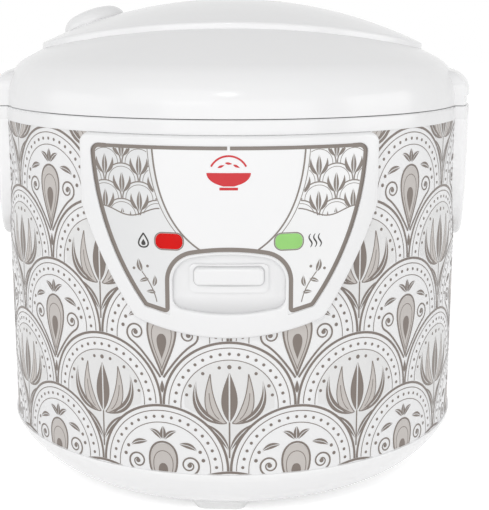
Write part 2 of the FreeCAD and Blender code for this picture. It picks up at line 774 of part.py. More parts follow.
# Body shell: a steel tube with windows for the lever, the lamps and the power inlet
tube = ring("shell_tube", "shell_radius - shell_wall", "shell_radius", "shell_bottom", "shell_top")
window_reach = "2 * (shell_radius - shell_wall - case_radius)"
lever_window = slab("lever_window", FRONT, box_points(
    "-slot_half_width", "slot_bottom", "slot_half_width", "slot_top"), "case_radius", window_reach)
lamp_windows = [
    rod(f"lamp_window{side}", "lamp_radius + lamp_window_gap", window_reach, f"{side} * lens_offset",
        "-case_radius", "lens_height", "-Y") for side in (-1, 1)]
inlet_window = slab("inlet_window", FRONT, soft_box(
    "0", "inlet_height", "inlet_half_width + fit_gap", "inlet_half_height + fit_gap",
    "inlet_corner_radius"), "-(shell_radius + inlet_length)", "2 * inlet_length")
keep("body_shell", cut("shell_cut", tube, lever_window, *lamp_windows, inlet_window))

# Collar ring: a moulding that caps the shell, with blocks for the ears and lugs for the hinge
collar_turn = turned("collar_turn", [
    ("spigot_inner", "shell_top - spigot_height"),
    ("spigot_outer", "shell_top - spigot_height"),
    ("spigot_outer", "shell_top"),
    ("collar_radius", "shell_top"),
    ("collar_radius", "seam_height - collar_edge_radius", "collar_edge_radius"),
    ("collar_radius - collar_edge_radius", "seam_height"),
    ("land_radius", "seam_height"),
    ("ledge_radius", "ledge_height"),
    ("mouth_radius", "ledge_height"),
    ("mouth_radius", "collar_underside"),
    ("spigot_inner", "collar_underside"),
])
ear_span = "2 * (ear_radius + collar_edge_radius)"
ear_slab = slab("collar_ear_slab", SIDE, box_points(
    "-ear_half_width", "shell_top", "ear_half_width", "seam_height"), f"-({ear_span}) / 2", ear_span)
ear_blocks = shared("collar_ears", ear_slab, turned("collar_ear_ring", [
    ("land_radius", "shell_top"),
    ("ear_radius", "shell_top"),
    ("ear_radius", "seam_height - collar_edge_radius", "collar_edge_radius"),
    ("ear_radius - collar_edge_radius", "seam_height"),
    ("land_radius", "seam_height"),
]))
lug_front = "hinge_offset - barrel_radius"
lug_back = "hinge_offset + barrel_radius"
lug_points = [
    (lug_front, "shell_top"),
    (lug_back, "shell_top"),
    (lug_back, "hinge_height", "barrel_radius"),
    ("hinge_offset", "hinge_height + barrel_radius", "barrel_radius"),
    (lug_front, "hinge_height"),
]
lugs = [
    slab("lug_right", SIDE, lug_points, "lug_inner", "lug_width"),
    slab("lug_left", SIDE, lug_points, "-lug_inner - lug_width", "lug_width"),
]
hinge_shelf = slab("hinge_shelf", PLAN, soft_box(
    "0", f"(land_radius + {lug_back}) / 2", "lug_inner + lug_width", f"({lug_back} - land_radius) / 2",
    "fit_gap"), "shell_top", "hinge_height - barrel_radius - 2 * fit_gap - shell_top")
pin_bore = rod("pin_bore", "pin_radius + skin_gap", "pin_length", "-pin_length / 2", "hinge_offset",
               "hinge_height", "X")
hook_slot = slab("hook_slot", FRONT, box_points(
    "-(hook_half_width + hook_gap)", "hook_bottom - hook_gap",
    "hook_half_width + hook_gap", "seam_height + hook_gap"),
    "ledge_radius", "hook_offset + hook_nose + hook_gap - ledge_radius")
keep("collar_ring", cut("collar_cut", fused("collar_whole", collar_turn, ear_blocks, *lugs, hinge_shelf),
                        pin_bore, hook_slot))

# Side grips: shield-shaped mouldings under the ear blocks that taper to a rounded tip
grip_ring = turned("grip_ring", [
    ("grip_foot_radius", "grip_tip"),
    ("grip_foot_radius + grip_tip_depth", "grip_tip", "grip_swell_radius"),
    ("ear_radius", "grip_shoulder"),
    ("ear_radius", "shell_top"),
    ("grip_foot_radius", "shell_top"),
])
grip_points = [
    ("grip_tip_half_width", "grip_tip", "grip_bow_radius"),
    ("ear_half_width", "grip_shoulder"),
    ("ear_half_width", "shell_top"),
    ("-ear_half_width", "shell_top"),
    ("-ear_half_width", "grip_shoulder", "grip_bow_radius"),
    ("-grip_tip_half_width", "grip_tip"),
]


def grip_rim(edge):
    """Whether an edge runs round the face of a grip, below the collar."""
    points = [vertex.Point for vertex in edge.Vertexes]
    reach = value("grip_edge_radius / 2")
    outside = all(radius_of(point) > value("grip_foot_radius") + reach for point in points)
    sloping = abs(edge.CenterOfMass.z - value("grip_shoulder")) > reach
    below = edge.BoundBox.ZMin < value("shell_top") - reach
    return outside and sloping and below and any(abs(point.y) > reach for point in points)


for name, start in (("right", "0"), ("left", "-(ear_radius + collar_edge_radius)")):
    shield = slab(f"grip_{name}_slab", SIDE, grip_points, start, "ear_radius + collar_edge_radius")
    grip = shared(f"grip_{name}_blank", shield, grip_ring)
    keep(f"side_grip_{name}", softened(f"grip_{name}_soft", grip, "grip_edge_radius", grip_rim))


# Lid cover: a domed shell with two finger ears, screw bosses and the hinge barrel
def lid_points(inset, rim):
    """Half section of the lid's dome, shoulder and wall, set in by a wall thickness."""
    share = f"(dome_radius - {inset}) / (dome_radius - shoulder_radius)"
    return [
        ("0", rim),
        (f"lid_radius - {inset}", rim),
        (f"lid_radius - {inset}", "shoulder_height", f"shoulder_radius - {inset}"),
        (f"shoulder_offset * {share}", f"dome_centre + (shoulder_height - dome_centre) * {share}",
         f"dome_radius - {inset}"),
        ("0", f"lid_apex - {inset}"),
    ]


lid_form = turned("lid_form", lid_points("0", "lid_rim"))
lid_hollow = turned("lid_hollow", lid_points("lid_wall", "lid_rim - lid_wall"))
lid_ears = shared("lid_ears", slab("lid_ear_slab", SIDE, [
    ("-ear_half_width", "lid_rim"),
    ("ear_half_width", "lid_rim"),
    ("ear_half_width", "ear_top - ear_corner_radius", "ear_corner_radius"),
    ("ear_half_width - ear_corner_radius", "ear_top"),
    ("-ear_half_width + ear_corner_radius", "ear_top", "ear_corner_radius"),
    ("-ear_half_width", "ear_top - ear_corner_radius"),
], f"-({ear_span}) / 2", ear_span), turned("lid_ear_ring", [
    ("land_radius", "lid_rim"),
    ("ear_radius - ear_undercut_depth", "lid_rim"),
    ("ear_radius - ear_undercut_depth", "lid_rim + ear_undercut_height"),
    ("ear_radius", "lid_rim + ear_undercut_height + ear_undercut_depth"),
    ("ear_radius", "ear_crest", "ear_cap_radius"),
    ("ear_radius - ear_cap_depth", "ear_top"),
    ("land_radius", "ear_top"),
]))
hinge_arm_points = [
    ("land_radius", "liner_top + fit_gap"),
    ("hinge_offset", "liner_rim"),
    ("hinge_offset", "hinge_height + barrel_radius"),
    ("land_radius", "hinge_height + barrel_radius"),
]
hinge_half = "barrel_half_length - spring_bay_half_width"
hinge_parts = []
for name, start in (("right", "spring_bay_half_width"), ("left", "-barrel_half_length")):
    hinge_parts.append(rod(
        f"barrel_{name}", "barrel_radius", hinge_half, start, "hinge_offset", "hinge_height", "X"))
    hinge_parts.append(slab(f"hinge_arm_{name}", SIDE, hinge_arm_points, start, hinge_half))
lid_bosses = []
boss_holes = []
for angle in POST_ANGLES:
    x, y = polar("lid_screw_ring_radius", angle)
    lid_bosses.append(rod(f"boss{angle}", "screw_shank_radius + boss_wall", "lid_apex - liner_top",
                          x, y, "liner_top"))
    boss_holes.append(rod(f"boss_hole{angle}", "screw_shank_radius + skin_gap", "screw_length + fit_gap",
                          x, y, "liner_rim"))
inner_ribs = cut("lid_inner_ribs", shared("lid_boss_trim", fused("lid_boss_set", *lid_bosses), lid_form),
                 fused("boss_hole_set", *boss_holes))
lid_skin = cut("lid_skin", fused("lid_outside", lid_form, lid_ears, *hinge_parts), lid_hollow)
dome_middle = FreeCAD.Vector(0, 0, value("dome_centre"))
cap_way = FreeCAD.Vector(-value("cap_offset"), value("cap_back_offset"), value("cap_level"))
cap_place = FreeCAD.Placement(dome_middle + cap_way, FreeCAD.Rotation(FreeCAD.Vector(0, 0, 1), cap_way))


def on_dome(thing):
    """Stand an object that is built along Z on the lid's top plate, square to the dome."""
    thing.Placement = cap_place
    return thing


tube_way = on_dome(ring("tube_way", "0", "tube_outer + skin_gap", "-tube_length - fit_gap", "cap_height"))
hinge_bore = rod("hinge_bore", "pin_radius + pin_gap", "pin_length", "-pin_length / 2", "hinge_offset",
                 "hinge_height", "X")
keep("lid_cover", cut("lid_cut", fused("lid_whole", lid_skin, inner_ribs), tube_way, hinge_bore))

# Oval top plate: a raised crown on the dome with a rounded edge
crown_oval = bind(doc.addObject("Part::Ellipse", "crown_oval"),
                  MajorRadius="crown_half_width", MinorRadius="crown_half_depth")
crown_prism = doc.addObject("Part::Extrusion", "crown_prism")
crown_prism.Base = crown_oval
crown_prism.DirMode = "Custom"
crown_prism.Dir = FreeCAD.Vector(0, 0, 1)
crown_prism.Solid = True
bind(crown_prism, LengthFwd="2 * lid_apex")
crown_shell = turned("crown_shell", [
    ("0", "lid_apex"),
    ("0", "lid_apex + crown_step", "-crown_radius"),
    ("lid_radius", "dome_centre + sqrt(crown_radius^2 - lid_radius^2)"),
    ("lid_radius", "dome_centre + sqrt(dome_radius^2 - lid_radius^2)", "dome_radius"),
])
crown_blank = shared("crown_blank", crown_prism, crown_shell)
crown_soft = softened("crown_soft", crown_blank, "crown_edge_radius", lambda edge: (
    (edge.Vertexes[0].Point - dome_middle).Length > value("dome_radius + crown_step / 2")))
keep("lid_top_plate", cut("crown_cut", crown_soft, tube_way))

# Steam cap: a slotted dome over a plug that pushes into a rubber tube through the lid
cap_dome = turned("cap_dome", [
    ("cap_radius", "fit_gap"),
    ("cap_radius", "cap_skirt_height", "cap_shoulder_radius"),
    ("cap_crown_half_width", "cap_height - cap_crown_rise", "cap_crown_radius"),
    ("0", "cap_height"),
    ("0", "cap_height - cap_wall", "-cap_crown_radius"),
    ("cap_crown_half_width - cap_wall / 2", "cap_height - cap_crown_rise - cap_wall",
     "-(cap_shoulder_radius - cap_wall / 2)"),
    ("cap_radius - cap_wall", "cap_skirt_height"),
    ("cap_radius - cap_wall", "fit_gap"),
])
cap_slots = [
    slab(f"cap_slot{index + 2}", PLAN, soft_box(
        f"{index} * cap_slot_pitch", "0", "cap_slot_half_width", "cap_slot_half_length",
        "cap_slot_half_width - slot_end_flat"),
        "cap_skirt_height + plug_flange_height", "cap_height") for index in (-1, 0, 1)]
on_dome(keep("steam_cap", cut("cap_cut", cap_dome, *cap_slots)))
on_dome(keep("steam_cap_base", turned("cap_plug", [
    ("plug_drain_radius", "-plug_depth"),
    ("plug_radius", "-plug_depth"),
    ("plug_radius", "fit_gap"),
    ("cap_radius - cap_wall - skin_gap", "fit_gap"),
    ("cap_radius - cap_wall - skin_gap", "fit_gap + plug_flange_height"),
    ("plug_radius - plug_wall", "fit_gap + plug_flange_height"),
    ("plug_radius - plug_wall", "-plug_depth + plug_wall"),
    ("plug_drain_radius", "-plug_depth + plug_wall"),
])))
on_dome(keep("steam_tube", turned("tube_turn", [
    ("plug_radius - plug_wall", "-tube_length"),
    ("tube_outer", "-tube_length"),
    ("tube_outer", "-skin_gap"),
    ("tube_inner", "-skin_gap"),
    ("tube_inner", "-plug_depth - fit_gap"),
    ("plug_radius - plug_wall", "-plug_depth - 3 * fit_gap"),
])))

# Lid inner cover: the dished liner that closes the lid from below, with the front catch hook
liner_turn = turned("liner_turn", [
    ("0", "liner_apex"),
    ("liner_dish_radius", "liner_rim + liner_slope_rise"),
    ("liner_step_radius", "liner_rim"),
    ("liner_radius", "liner_rim"),
    ("liner_radius", "liner_top"),
    ("liner_step_radius", "liner_top"),
    ("liner_dish_radius", "liner_top + liner_slope_rise"),
    ("0", "liner_apex + liner_wall"),
])
hook = slab("hook", SIDE, [
    ("-hook_offset", "hook_bottom + 2 * hook_nose"),
    ("-hook_offset - hook_nose", "hook_bottom + hook_nose"),
    ("-hook_offset - hook_nose", "hook_bottom"),
    ("-hook_offset + hook_sheet", "hook_bottom"),
    ("-hook_offset + hook_sheet", "liner_top"),
    ("-hook_offset", "liner_top"),
], "-hook_half_width", "2 * hook_half_width")
liner_holes = []
for angle in POST_ANGLES:
    x, y = polar("lid_screw_ring_radius", angle)
    liner_holes.append(rod(f"liner_hole{angle}", "screw_shank_radius + skin_gap", "3 * liner_wall", x, y,
                           "liner_rim - liner_wall"))
keep("lid_inner_cover", cut("liner_cut", fused("liner_whole", liner_turn, hook), tube_way, *liner_holes))

# Lid screws: four self-tapping screws through the liner into the lid's bosses
lid_screws = []
for angle in POST_ANGLES:
    x, y = polar("lid_screw_ring_radius", angle)
    shank = rod(f"lid_screw_shank{angle}", "screw_shank_radius", "screw_length", x, y,
                "liner_rim - skin_gap")
    head = rod(f"lid_screw_head{angle}", "screw_head_radius", "screw_head_height / 2", x, y,
               "liner_rim - screw_head_height / 2")
    lid_screws.append(fused(f"lid_screw{angle}", shank, head))
keep("lid_screws", group("lid_screw_group", lid_screws))

# Lid seal: a silicone ring with a soft lip above the pot's rim
keep("lid_seal", turned("seal_turn", [
    ("seal_inner", "seal_bottom"),
    ("seal_outer", "seal_bottom"),
    ("seal_outer", "seal_bottom + seal_lip"),
    ("liner_step_radius + fit_gap", "seal_bottom + 2 * seal_lip"),
    ("liner_step_radius + fit_gap", "liner_rim"),
    ("liner_step_radius", "liner_rim"),
    ("seal_inner", "seal_crest"),
]))

# Inner lid plate: a pressed aluminium disc with steam holes, held by a rubber grommet
plate_turn = turned("plate_turn", [
    ("0", "plate_apex"),
    ("plate_radius", "plate_rim"),
    ("plate_radius", "plate_rim + plate_sheet"),
    ("0", "plate_apex + plate_sheet"),
])


def plate_hole(label, angle):
    """One steam hole of the inner lid plate."""
    return rod(label, "plate_hole_radius", "2 * plate_crown_height",
               *polar("plate_hole_ring_radius", angle), "plate_rim")


plate_holes = around(int(value("plate_hole_count")), "plate_hole", plate_hole)
grommet_way = rod("grommet_way", "grommet_radius + skin_gap", "2 * plate_crown_height",
                  "0", "0", "plate_rim")
keep("inner_lid_plate", cut("plate_cut", plate_turn, grommet_way, *plate_holes))
keep("plate_grommet", turned("grommet_turn", [
    ("0", "plate_apex - grommet_flange_height"),
    ("grommet_radius + grommet_flange_width", "plate_apex - grommet_flange_height - skin_gap"),
    ("grommet_radius + grommet_flange_width", "plate_apex - grommet_flange_height / 2"),
    ("grommet_radius", "plate_apex - fit_gap"),
    ("grommet_radius", "liner_apex - fit_gap"),
    ("0", "liner_apex - fit_gap"),
]))

# Hinge pin and its torsion spring
keep("hinge_pin", rod("pin", "pin_radius", "pin_length", "-pin_length / 2", "hinge_offset",
                      "hinge_height", "X"))
hinge_coil_length = "2 * spring_bay_half_width - 2 * hinge_wire"
hinge_coil = coil("pin_radius + pin_gap + hinge_wire", "hinge_wire", "hinge_turns",
                  hinge_coil_length, "hinge_coil")
hinge_coil.Placement = FreeCAD.Placement(
    FreeCAD.Vector(-value(hinge_coil_length) / 2, value("hinge_offset"), value("hinge_height")),
    FreeCAD.Rotation(FreeCAD.Vector(0, 1, 0), 90))
keep("hinge_spring", hinge_coil)

# Front panel: a raised frame that wraps the shell, with a chin below the lever recess
panel_points = [
    ("-chin_half_width", "chin_shoulder", "chin_radius"),
    ("chin_half_width", "chin_shoulder", "chin_corner_radius"),
    ("panel_foot_half_width", "panel_foot", "panel_side_radius"),
    ("panel_half_width", "panel_waist"),
    ("panel_half_width", "panel_top - panel_corner_radius", "panel_corner_radius"),
    ("panel_half_width - panel_corner_radius", "panel_top"),
    ("-panel_half_width + panel_corner_radius", "panel_top", "panel_corner_radius"),
    ("-panel_half_width", "panel_top - panel_corner_radius"),
    ("-panel_half_width", "panel_waist", "panel_side_radius"),
    ("-panel_foot_half_width", "panel_foot", "chin_corner_radius"),
]
panel_ring = ring("panel_ring", "panel_back", "panel_face", "shell_bottom", "seam_height")
panel_slab = slab("panel_slab", FRONT, panel_points, "case_radius / 2", "case_radius")
panel_blank = shared("panel_blank", panel_slab, panel_ring)


panel_soft = softened("panel_soft", panel_blank, "panel_edge_radius", lambda edge: all(
    radius_of(vertex.Point) > value("panel_back + panel_depth / 2") for vertex in edge.Vertexes))
front_reach = "shell_radius / 2"


def arch_points(margin):
    """Outline of the lever recess moved outwards by a margin, with each arc tangent to the next."""
    side, spring = f"arch_half_width + {margin}", "arch_spring"
    head = f"(arch_crown_radius + {margin}) / arch_head"
    sill = f"(arch_sill_radius + {margin}) / arch_sill"
    head_across = f"(arch_half_width - arch_corner_radius) * {head}"
    head_up = f"arch_top - arch_crown_radius + arch_head_rise * {head}"
    sill_across = f"(arch_half_width - arch_foot_radius) * {sill}"
    sill_up = f"arch_low + arch_sill_radius - arch_sill_rise * {sill}"
    corner, foot = f"arch_corner_radius + {margin}", f"arch_foot_radius + {margin}"
    return [
        (f"-({sill_across})", sill_up, f"arch_sill_radius + {margin}"),
        (sill_across, sill_up, foot),
        (side, "arch_foot"),
        (side, spring, corner),
        (head_across, head_up, f"arch_crown_radius + {margin}"),
        (f"-({head_across})", head_up, corner),
        (f"-({side})", spring),
        (f"-({side})", "arch_foot", foot),
    ]


arch_opening = slab("arch_opening", FRONT, arch_points("0"), front_reach, "shell_radius")
film_top = arch_points("lip_width")[3:7]
film_opening = slab("film_opening", FRONT, [
    ("-(arch_half_width + lip_width)", "inlay_bottom - inlay_tail_height"),
    ("arch_half_width + lip_width", "inlay_bottom - inlay_tail_height"),
] + film_top, front_reach, "shell_radius")
inlay_slab = slab("inlay_slab", FRONT, [
    ("-inlay_tail_half_width", "inlay_bottom"),
    ("inlay_tail_half_width", "inlay_bottom"),
    ("inlay_foot_half_width", "inlay_foot", "inlay_side_radius"),
    ("inlay_half_width", "inlay_top - inlay_corner_radius", "inlay_corner_radius"),
    ("inlay_half_width - inlay_corner_radius", "inlay_top"),
    ("-inlay_half_width + inlay_corner_radius", "inlay_top", "inlay_corner_radius"),
    ("-inlay_half_width", "inlay_top - inlay_corner_radius", "inlay_side_radius"),
    ("-inlay_foot_half_width", "inlay_foot"),
], front_reach, "shell_radius")
inlay_pocket = cut("inlay_pocket", shared("inlay_pocket_blank", inlay_slab, ring(
    "inlay_pocket_ring", "inlay_seat", "panel_face + panel_depth", "chin_shoulder", "seam_height")),
    film_opening)
lens_windows = [
    slab(f"lens_window{side + 1}", FRONT, soft_box(
        f"{side} * lens_offset", "lens_height", "lens_half_width + skin_gap", "lens_half_height + skin_gap",
        "lens_corner_radius"), front_reach, "shell_radius") for side in (-1, 1)]
panel_open = cut("panel_cut", panel_soft, inlay_pocket, arch_opening, *lens_windows)


def recess_rim(edge):
    """Whether an edge runs round the mouth of the lever recess."""
    points = edge.discretize(3)
    reach = value("lip_width / 2")
    across = max(abs(point.x) for point in points) < value("arch_half_width") + reach
    low, high = value("arch_low") - reach, value("arch_top") + reach
    up = all(low < point.z < high for point in points)
    return across and up and all(radius_of(point) > value("panel_face - fit_gap") for point in points)


keep("front_panel", softened("panel_lip", panel_open, "recess_edge_radius", recess_rim))
inlay_blank = shared("inlay_blank", inlay_slab, ring(
    "inlay_ring", "inlay_seat + skin_gap", "inlay_face", "chin_shoulder", "seam_height"))
keep("panel_inlay", cut("inlay_cut", inlay_blank, film_opening, *lens_windows))

# Indicator lenses, their lamps and the board that carries them
lens_ring = ring("lens_ring", "panel_back", "inlay_face + lens_proud", "chin_shoulder", "seam_height")
lamp_tip = "sqrt(panel_back^2 - (lens_offset + lamp_radius)^2) - fit_gap"
for name, side in (("cook", -1), ("warm", 1)):
    lens = shared(f"{name}_lens_blank", lens_ring, slab(f"{name}_lens_slab", FRONT, soft_box(
        f"{side} * lens_offset", "lens_height", "lens_half_width", "lens_half_height",
        "lens_corner_radius"), front_reach, "shell_radius"))
    keep(f"{name}_lens", softened(f"{name}_lens_soft", lens, "lens_edge_radius", lambda edge: all(
        radius_of(vertex.Point) > value("inlay_face") for vertex in edge.Vertexes)))
    keep(f"{name}_lamp", rod(f"{name}_lamp_bulb", "lamp_radius", f"{lamp_tip} - board_front",
                             f"{side} * lens_offset", "-board_front", "lens_height", "-Y"))
keep("indicator_board", slab("board", FRONT, soft_box(
    "0", "lens_height", "lens_offset + lamp_radius + board_margin", "lamp_radius + board_margin",
    "board_corner_radius"), "board_back", "board_sheet"))

# Lever housing: the floor of the recess, with a slot for the lever's neck
housing_floor = shared("housing_floor", slab(
    "housing_slab", FRONT, arch_points("(-skin_gap)"), front_reach, "shell_radius"), ring(
    "housing_ring", "panel_back", "housing_face", "chin_shoulder", "seam_height"))
lever_slot = slab("lever_slot", FRONT, box_points(
    "-slot_half_width", "slot_bottom", "slot_half_width", "slot_top"), front_reach, "shell_radius")
keep("lever_housing", cut("housing_cut", housing_floor, lever_slot))

# Cook lever: a moulded bar on a skirt that hides the slot, with a neck to the steel strip inside the shell
lever_bar = softened("lever_soft", slab("lever_bar", FRONT, soft_box(
    "0", "lever_height", "lever_half_width", "lever_half_height", "lever_corner_radius"), "lever_back",
    "lever_front - lever_back"), "lever_edge_radius", lambda edge: all(
    vertex.Point.y < -value("lever_front - lever_edge_radius / 2") for vertex in edge.Vertexes))
skirt_room = ring("skirt_room", "0", "skirt_back", "chin_shoulder", "seam_height")
lever_grip = cut("lever_grip", lever_bar, skirt_room)
lever_skirt = shared("lever_skirt", slab("skirt_slab", FRONT, soft_box(
    "0", "skirt_middle", "skirt_half_width", "skirt_half_height", "skirt_corner_radius"),
    front_reach, "shell_radius"), ring(
    "skirt_ring", "skirt_back", "skirt_face", "chin_shoulder", "seam_height"))
lever_neck = slab("lever_neck", FRONT, box_points(
    "-neck_half_width", "neck_height - neck_half_height",
    "neck_half_width", "neck_height + neck_half_height"),
    "lever_back", "skirt_back + skirt_sheet / 2 - lever_back")
keep("cook_lever", fused("lever_whole", lever_grip, lever_skirt, lever_neck))
keep("lever_strip", slab("strip", SIDE, [
    ("-lever_back", "strip_foot"),
    ("-strip_tip", "strip_foot"),
    ("-strip_tip", "strip_foot + strip_sheet"),
    ("-lever_back + strip_sheet", "strip_foot + strip_sheet"),
    ("-lever_back + strip_sheet", "lever_height"),
    ("-lever_back", "lever_height"),
], "-strip_half_width", "2 * strip_half_width"))
lever_coil = coil("lever_spring_radius", "lever_spring_wire", "lever_spring_turns",
                  "lever_spring_length - lever_spring_wire - 2 * skin_gap", "lever_coil")
lever_coil_seat = value("lever_spring_seat + lever_spring_wire / 2 + skin_gap")
lever_coil.Placement = FreeCAD.Placement(
    FreeCAD.Vector(0, -value("lever_spring_offset"), lever_coil_seat), FreeCAD.Rotation())
keep("lever_spring", lever_coil)

# Rocker: turns the lever's push down into a lift of the magnet rod
rocker_bar = slab("rocker_bar_slab", SIDE, box_points(
    "-strip_tip - rocker_overlap", "rocker_top - rocker_bar", "-2 * rocker_gap", "rocker_top"),
    "-rocker_half_width", "2 * rocker_half_width")
rocker_hub = rod("rocker_hub", "rocker_hub_radius", "2 * rocker_half_width", "-rocker_half_width",
                 "-rocker_inner_arm", "rocker_axis", "X")
rocker_bore = rod("rocker_bore", "rocker_bore_radius", "4 * rocker_half_width", "-2 * rocker_half_width",
                  "-rocker_inner_arm", "rocker_axis", "X")
keep("rocker", cut("rocker_cut", fused("rocker_whole", rocker_bar, rocker_hub), rocker_bore))
keep("rocker_pin", rod("rocker_pin_rod", "rocker_pin_radius", "2 * (cheek_outer + cheek_sheet)",
                       "-(cheek_outer + cheek_sheet)", "-rocker_inner_arm", "rocker_axis", "X"))
cheek_points = [
    ("-rocker_inner_arm - bracket_half_length", "rocker_axis"),
    ("-rocker_inner_arm - bracket_half_length / 2", "rocker_axis - bracket_half_length / 2"),
    ("-rocker_inner_arm + bracket_half_length / 2", "rocker_axis - bracket_half_length / 2"),
    ("-rocker_inner_arm + bracket_half_length", "rocker_axis"),
    ("-rocker_inner_arm + bracket_half_length", "case_floor"),
    ("-rocker_inner_arm - bracket_half_length", "case_floor"),
]
bracket = fused(
    "bracket", slab("cheek_right", SIDE, cheek_points, "cheek_inner", "cheek_sheet"),
    slab("cheek_left", SIDE, cheek_points, "-cheek_outer", "cheek_sheet"),
    slab("bracket_top", PLAN, box_points(
        "-cheek_outer", "-rocker_inner_arm - bracket_half_length",
        "cheek_outer", "-rocker_inner_arm + bracket_half_length"),
        "case_floor - cheek_sheet", "cheek_sheet"))
bracket_bore = rod("bracket_bore", "rocker_pin_radius + skin_gap", "4 * cheek_outer", "-2 * cheek_outer",
                   "-rocker_inner_arm", "rocker_axis", "X")
keep("rocker_bracket", cut("bracket_cut", bracket, bracket_bore))
keep("micro_switch", slab("switch_case", SIDE, soft_box(
    "-rocker_inner_arm", "rocker_axis + rocker_hub_radius + switch_height",
    "switch_length / 2", "switch_height / 2", "switch_corner_radius"), "cheek_outer", "switch_width"))

# Inner case: a drawn cup hung under the collar, which holds the hot plate and the pot
HEATER_START = 110.0
heater_stop = HEATER_START + value("heater_sweep_angle")
terminal_inset = value("terminal_inset_angle")
TERMINAL_ANGLES = (HEATER_START + terminal_inset, heater_stop - terminal_inset)
case_turn = turned("case_turn", [
    ("case_hole_radius", "case_floor"),
    ("case_radius - case_corner_radius", "case_floor", "case_corner_radius"),
    ("case_radius", "case_floor + case_corner_radius"),
    ("case_radius", "collar_underside - case_wall"),
    ("case_flange_radius", "collar_underside - case_wall"),
    ("case_flange_radius", "collar_underside"),
    ("case_radius - case_wall", "collar_underside"),
    ("case_radius - case_wall", "case_floor + case_corner_radius", "-(case_corner_radius - case_wall)"),
    ("case_radius - case_corner_radius", "case_face"),
    ("case_hole_radius", "case_face"),
])
case_holes = []
case_screws = []
for angle in POST_ANGLES:
    x, y = polar("post_ring_radius", angle)
    case_holes.append(rod(f"case_hole{angle}", "screw_shank_radius + skin_gap", "4 * case_wall", x, y,
                          "case_floor - case_wall"))
    shank = rod(f"case_screw_shank{angle}", "screw_shank_radius", "screw_length + case_wall", x, y,
                "case_floor - screw_length")
    head = rod(f"case_screw_head{angle}", "screw_head_radius", "screw_head_height", x, y, "case_face")
    case_screws.append(fused(f"case_screw{angle}", shank, head))
for index, angle in enumerate(TERMINAL_ANGLES):
    case_holes.append(rod(f"terminal_hole{index}", "terminal_radius + terminal_gap", "4 * case_wall",
                          *polar("heater_ring_radius", angle), "case_floor - case_wall"))
keep("inner_case", cut("case_cut", case_turn, *case_holes))
keep("case_screws", group("case_screw_group", case_screws))

# Heating plate: cast aluminium on three legs, with a groove for the heater tube
groove = "heater_radius + skin_gap"
plate_disc = turned("hot_plate_turn", [
    ("hot_plate_bore", "hot_plate_bottom"),
    (f"heater_ring_radius - ({groove})", "hot_plate_bottom"),
    (f"heater_ring_radius - ({groove})", f"hot_plate_bottom + {groove}"),
    (f"heater_ring_radius + ({groove})", f"hot_plate_bottom + {groove}"),
    (f"heater_ring_radius + ({groove})", "hot_plate_bottom"),
    ("hot_plate_radius", "hot_plate_bottom"),
    ("hot_plate_radius", "hot_plate_top - hot_plate_edge_radius", "hot_plate_edge_radius"),
    ("hot_plate_radius - hot_plate_edge_radius", "hot_plate_top"),
    ("hot_plate_bore", "hot_plate_top"),
])


def plate_leg(label, angle):
    """One leg of the heating plate, standing on the inner case's floor."""
    return rod(label, "leg_radius", "leg_height + hot_plate_height / 2",
               *polar("leg_ring_radius", angle), "case_face")


plate_legs = around(int(value("leg_count")), "plate_leg", plate_leg, 90.0)
keep("heating_plate", fused("hot_plate", plate_disc, *plate_legs))
heater = bind(doc.addObject("Part::Torus", "heater"), Radius1="heater_ring_radius", Radius2="heater_radius",
              Angle3="heater_sweep_angle")
place(heater, "0", "0", "hot_plate_bottom", FreeCAD.Rotation(FreeCAD.Vector(0, 0, 1), HEATER_START))
terminals = [
    rod(f"terminal{index}", "terminal_radius", "terminal_drop", *polar("heater_ring_radius", angle),
        "hot_plate_bottom - terminal_drop") for index, angle in enumerate(TERMINAL_ANGLES)]
keep("heater_tube", fused("heater_whole", heater, *terminals))
keep("warm_heater", ring("warm_band", "case_radius + skin_gap", "case_radius + band_wall",
                         "shell_top - band_drop - band_height", "shell_top - band_drop"))
keep("thermal_fuse", rod("fuse", "fuse_radius", "fuse_length", "-fuse_length / 2", "fuse_ring_radius",
                         "hot_plate_bottom - fuse_radius - skin_gap", "X"))

# Thermostat: a sprung cap under the pot with a ferrite disc, and the magnet that the rocker lifts
keep("thermostat_cap", turned("sensor_cup", [
    ("sensor_radius - sensor_wall", "holder_floor + sensor_room"),
    ("sensor_radius", "holder_floor + sensor_room"),
    ("sensor_radius", "sensor_ceiling", "sensor_wall"),
    ("sensor_radius - sensor_wall", "sensor_top"),
    ("0", "sensor_top"),
    ("0", "sensor_ceiling"),
    ("sensor_radius - sensor_wall", "sensor_ceiling"),
]))
keep("ferrite_disc", ring("ferrite", "0", "ferrite_radius",
                          "sensor_ceiling - ferrite_height", "sensor_ceiling"))
keep("thermostat_holder", turned("holder_cup", [
    ("rod_hole_radius", "holder_bottom"),
    ("holder_radius", "holder_bottom"),
    ("holder_radius", "hot_plate_bottom"),
    ("holder_radius - holder_wall", "hot_plate_bottom"),
    ("holder_radius - holder_wall", "holder_floor"),
    ("rod_hole_radius", "holder_floor"),
]))
sensor_coil = coil("sensor_spring_radius", "sensor_wire", "sensor_turns",
                   "sensor_ceiling - holder_floor - sensor_wire - 2 * skin_gap", "sensor_coil")
sensor_coil.Placement = FreeCAD.Placement(
    FreeCAD.Vector(0, 0, value("holder_floor + sensor_wire / 2 + skin_gap")), FreeCAD.Rotation())
keep("thermostat_spring", sensor_coil)
keep("magnet", ring("magnet_ring", "0", "magnet_radius", "magnet_bottom", "magnet_bottom + magnet_height"))
keep("magnet_rod", rod("magnet_stem", "rod_radius", "magnet_bottom - strip_foot", "0", "0", "strip_foot"))

